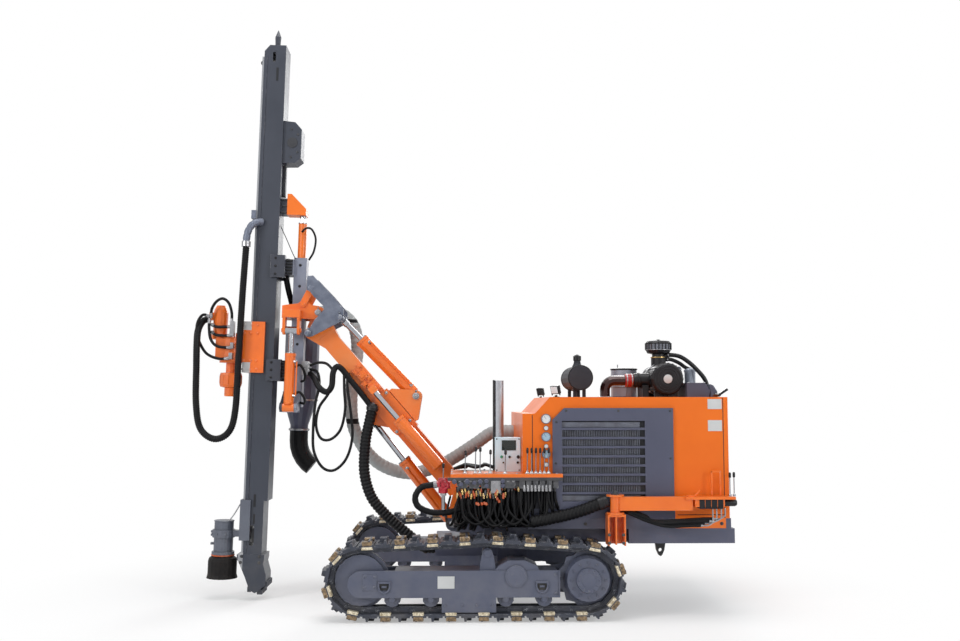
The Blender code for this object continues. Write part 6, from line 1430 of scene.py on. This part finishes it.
for k in range(8):
    angle = math.tau * (k + 0.5) / 8
    spoke = FORE * math.cos(angle) + Vector((0, 1, 0)) * math.sin(angle)
    bolt(bolts, on_mast(-2.385, 0.0, 2.425) + spoke * 0.076, RISE, 0.006)
    bolt(bolts, on_mast(-2.266, 0.0, 2.400) + spoke * 0.098, RISE, 0.007)
piece("head_hoses", head_hoses, RUBBER, "drill_carriage", angle=70.0)
piece("head_hose_ends", ends, ZINC, "drill_carriage", bevel=0.001)
piece("head_bolts", bolts, HEAD_ORANGE, "drill_carriage")
flats = bmesh.new()
for k in range(12):
    angle = math.tau * k / 12
    spoke = FORE * math.cos(angle) + Vector((0, 1, 0)) * math.sin(angle)
    bar(flats, on_mast(-2.266, 0.0, 2.040) + spoke * 0.0995, on_mast(-2.266, 0.0, 1.965) + spoke * 0.0995,
        0.0075, 8)
piece("chuck_ribs", flats, HEAD_ORANGE, "spindle")

# Console: a swing arm on a bolted post with two hand levers, a black valve block under its
# plate, bent zinc pipes and a bundle of hoses that hangs back to the post.
grips, shafts, valves, pipes, lines, orange = (bmesh.new() for _ in range(6))
CONSOLE_Y = -0.985
for x, tall in ((2.168, 0.200), (2.203, 0.203)):
    foot = spot(x, CONSOLE_Y, 1.016)
    bar(shafts, foot, foot + UP * (tall - 0.03), 0.0045, 10)
    lathe(shafts, foot, UP, [(0.0, 0.013), (0.016, 0.012), (0.022, 0.006)], 12)
    lathe(grips, foot + UP * (tall - 0.045), UP,
          [(0.0, 0.007), (0.006, 0.011), (0.036, 0.011), (0.045, 0.007)], 14)
for k in range(4):
    x = 1.895 + 0.052 * k
    block(valves, spot(x, CONSOLE_Y - 0.050, 0.915), spot(x + 0.046, CONSOLE_Y + 0.050, 0.992))
lathe(valves, spot(2.110, CONSOLE_Y, 0.962), ALONG,
      [(0.0, 0.026), (0.012, 0.030), (0.095, 0.030), (0.112, 0.022)], 20)
for k in range(4):
    x = 2.010 + 0.036 * k
    y = CONSOLE_Y - 0.030 + 0.012 * (k % 2)
    bend = evenly(smooth_route([spot(x, y, 0.918), spot(x, y, 0.860), spot(x - 0.005, y, 0.800 + 0.018 * k),
                                spot(x - 0.045, y, 0.775 + 0.018 * k),
                                spot(x - 0.085, y, 0.775 + 0.018 * k)], 8), 0.010)
    sweep(pipes, bend, [0.0065] * len(bend), 10)
    lathe(pipes, bend[-1], Vector((-1.0, 0.0, 0.0)), [(0.0, 0.011), (0.022, 0.011), (0.024, 0.008)], 8)
    start = bend[-1] - ALONG * 0.02
    line = evenly(smooth_route([start, start - ALONG * 0.08, spot(1.62 - 0.03 * k, y, 0.770 + 0.014 * k),
                                spot(1.45, y + 0.01, 0.815 + 0.012 * k),
                                spot(1.33, y + 0.03, 0.865 + 0.010 * k),
                                spot(1.262, CONSOLE_Y + 0.055, 0.890)], 8), 0.016)
    sweep(lines, line, [0.0135] * len(line), 10)
for x in (2.027, 2.100):
    block(orange, spot(x - 0.006, CONSOLE_Y + 0.044, 1.016), spot(x + 0.006, CONSOLE_Y + 0.058, 1.225))
block(orange, spot(2.021, CONSOLE_Y + 0.044, 1.213), spot(2.106, CONSOLE_Y + 0.058, 1.226))
block(orange, spot(1.795, CONSOLE_Y - 0.050, 1.015), spot(1.855, CONSOLE_Y + 0.020, 1.026))
bar(orange, spot(1.860, CONSOLE_Y - 0.030, 1.022), spot(1.905, CONSOLE_Y - 0.030, 1.070), 0.006)
piece("console_grips", grips, BLACK, "console")
piece("console_shafts", shafts, CHROME, "console")
piece("console_valves", valves, BLACK, "console", bevel=0.003)
piece("console_pipes", pipes, ZINC, "console")
piece("console_hoses", lines, RUBBER, "console", angle=70.0)
piece("console_bracket", orange, BOOM_ORANGE, "console", bevel=0.002)
post = bmesh.new()
for x in (1.130, 1.249):
    for z in (0.635, 0.703):
        bolt(post, spot(x, CONSOLE_Y - 0.055, z), TO_LEFT, 0.009)
lathe(post, spot(1.190, CONSOLE_Y, 1.030), UP,
      [(0.0, 0.034), (0.010, 0.034), (0.014, 0.020), (0.034, 0.018)], 18)
piece("console_post_bolts", post, ENGINE_GREY, "carrier")
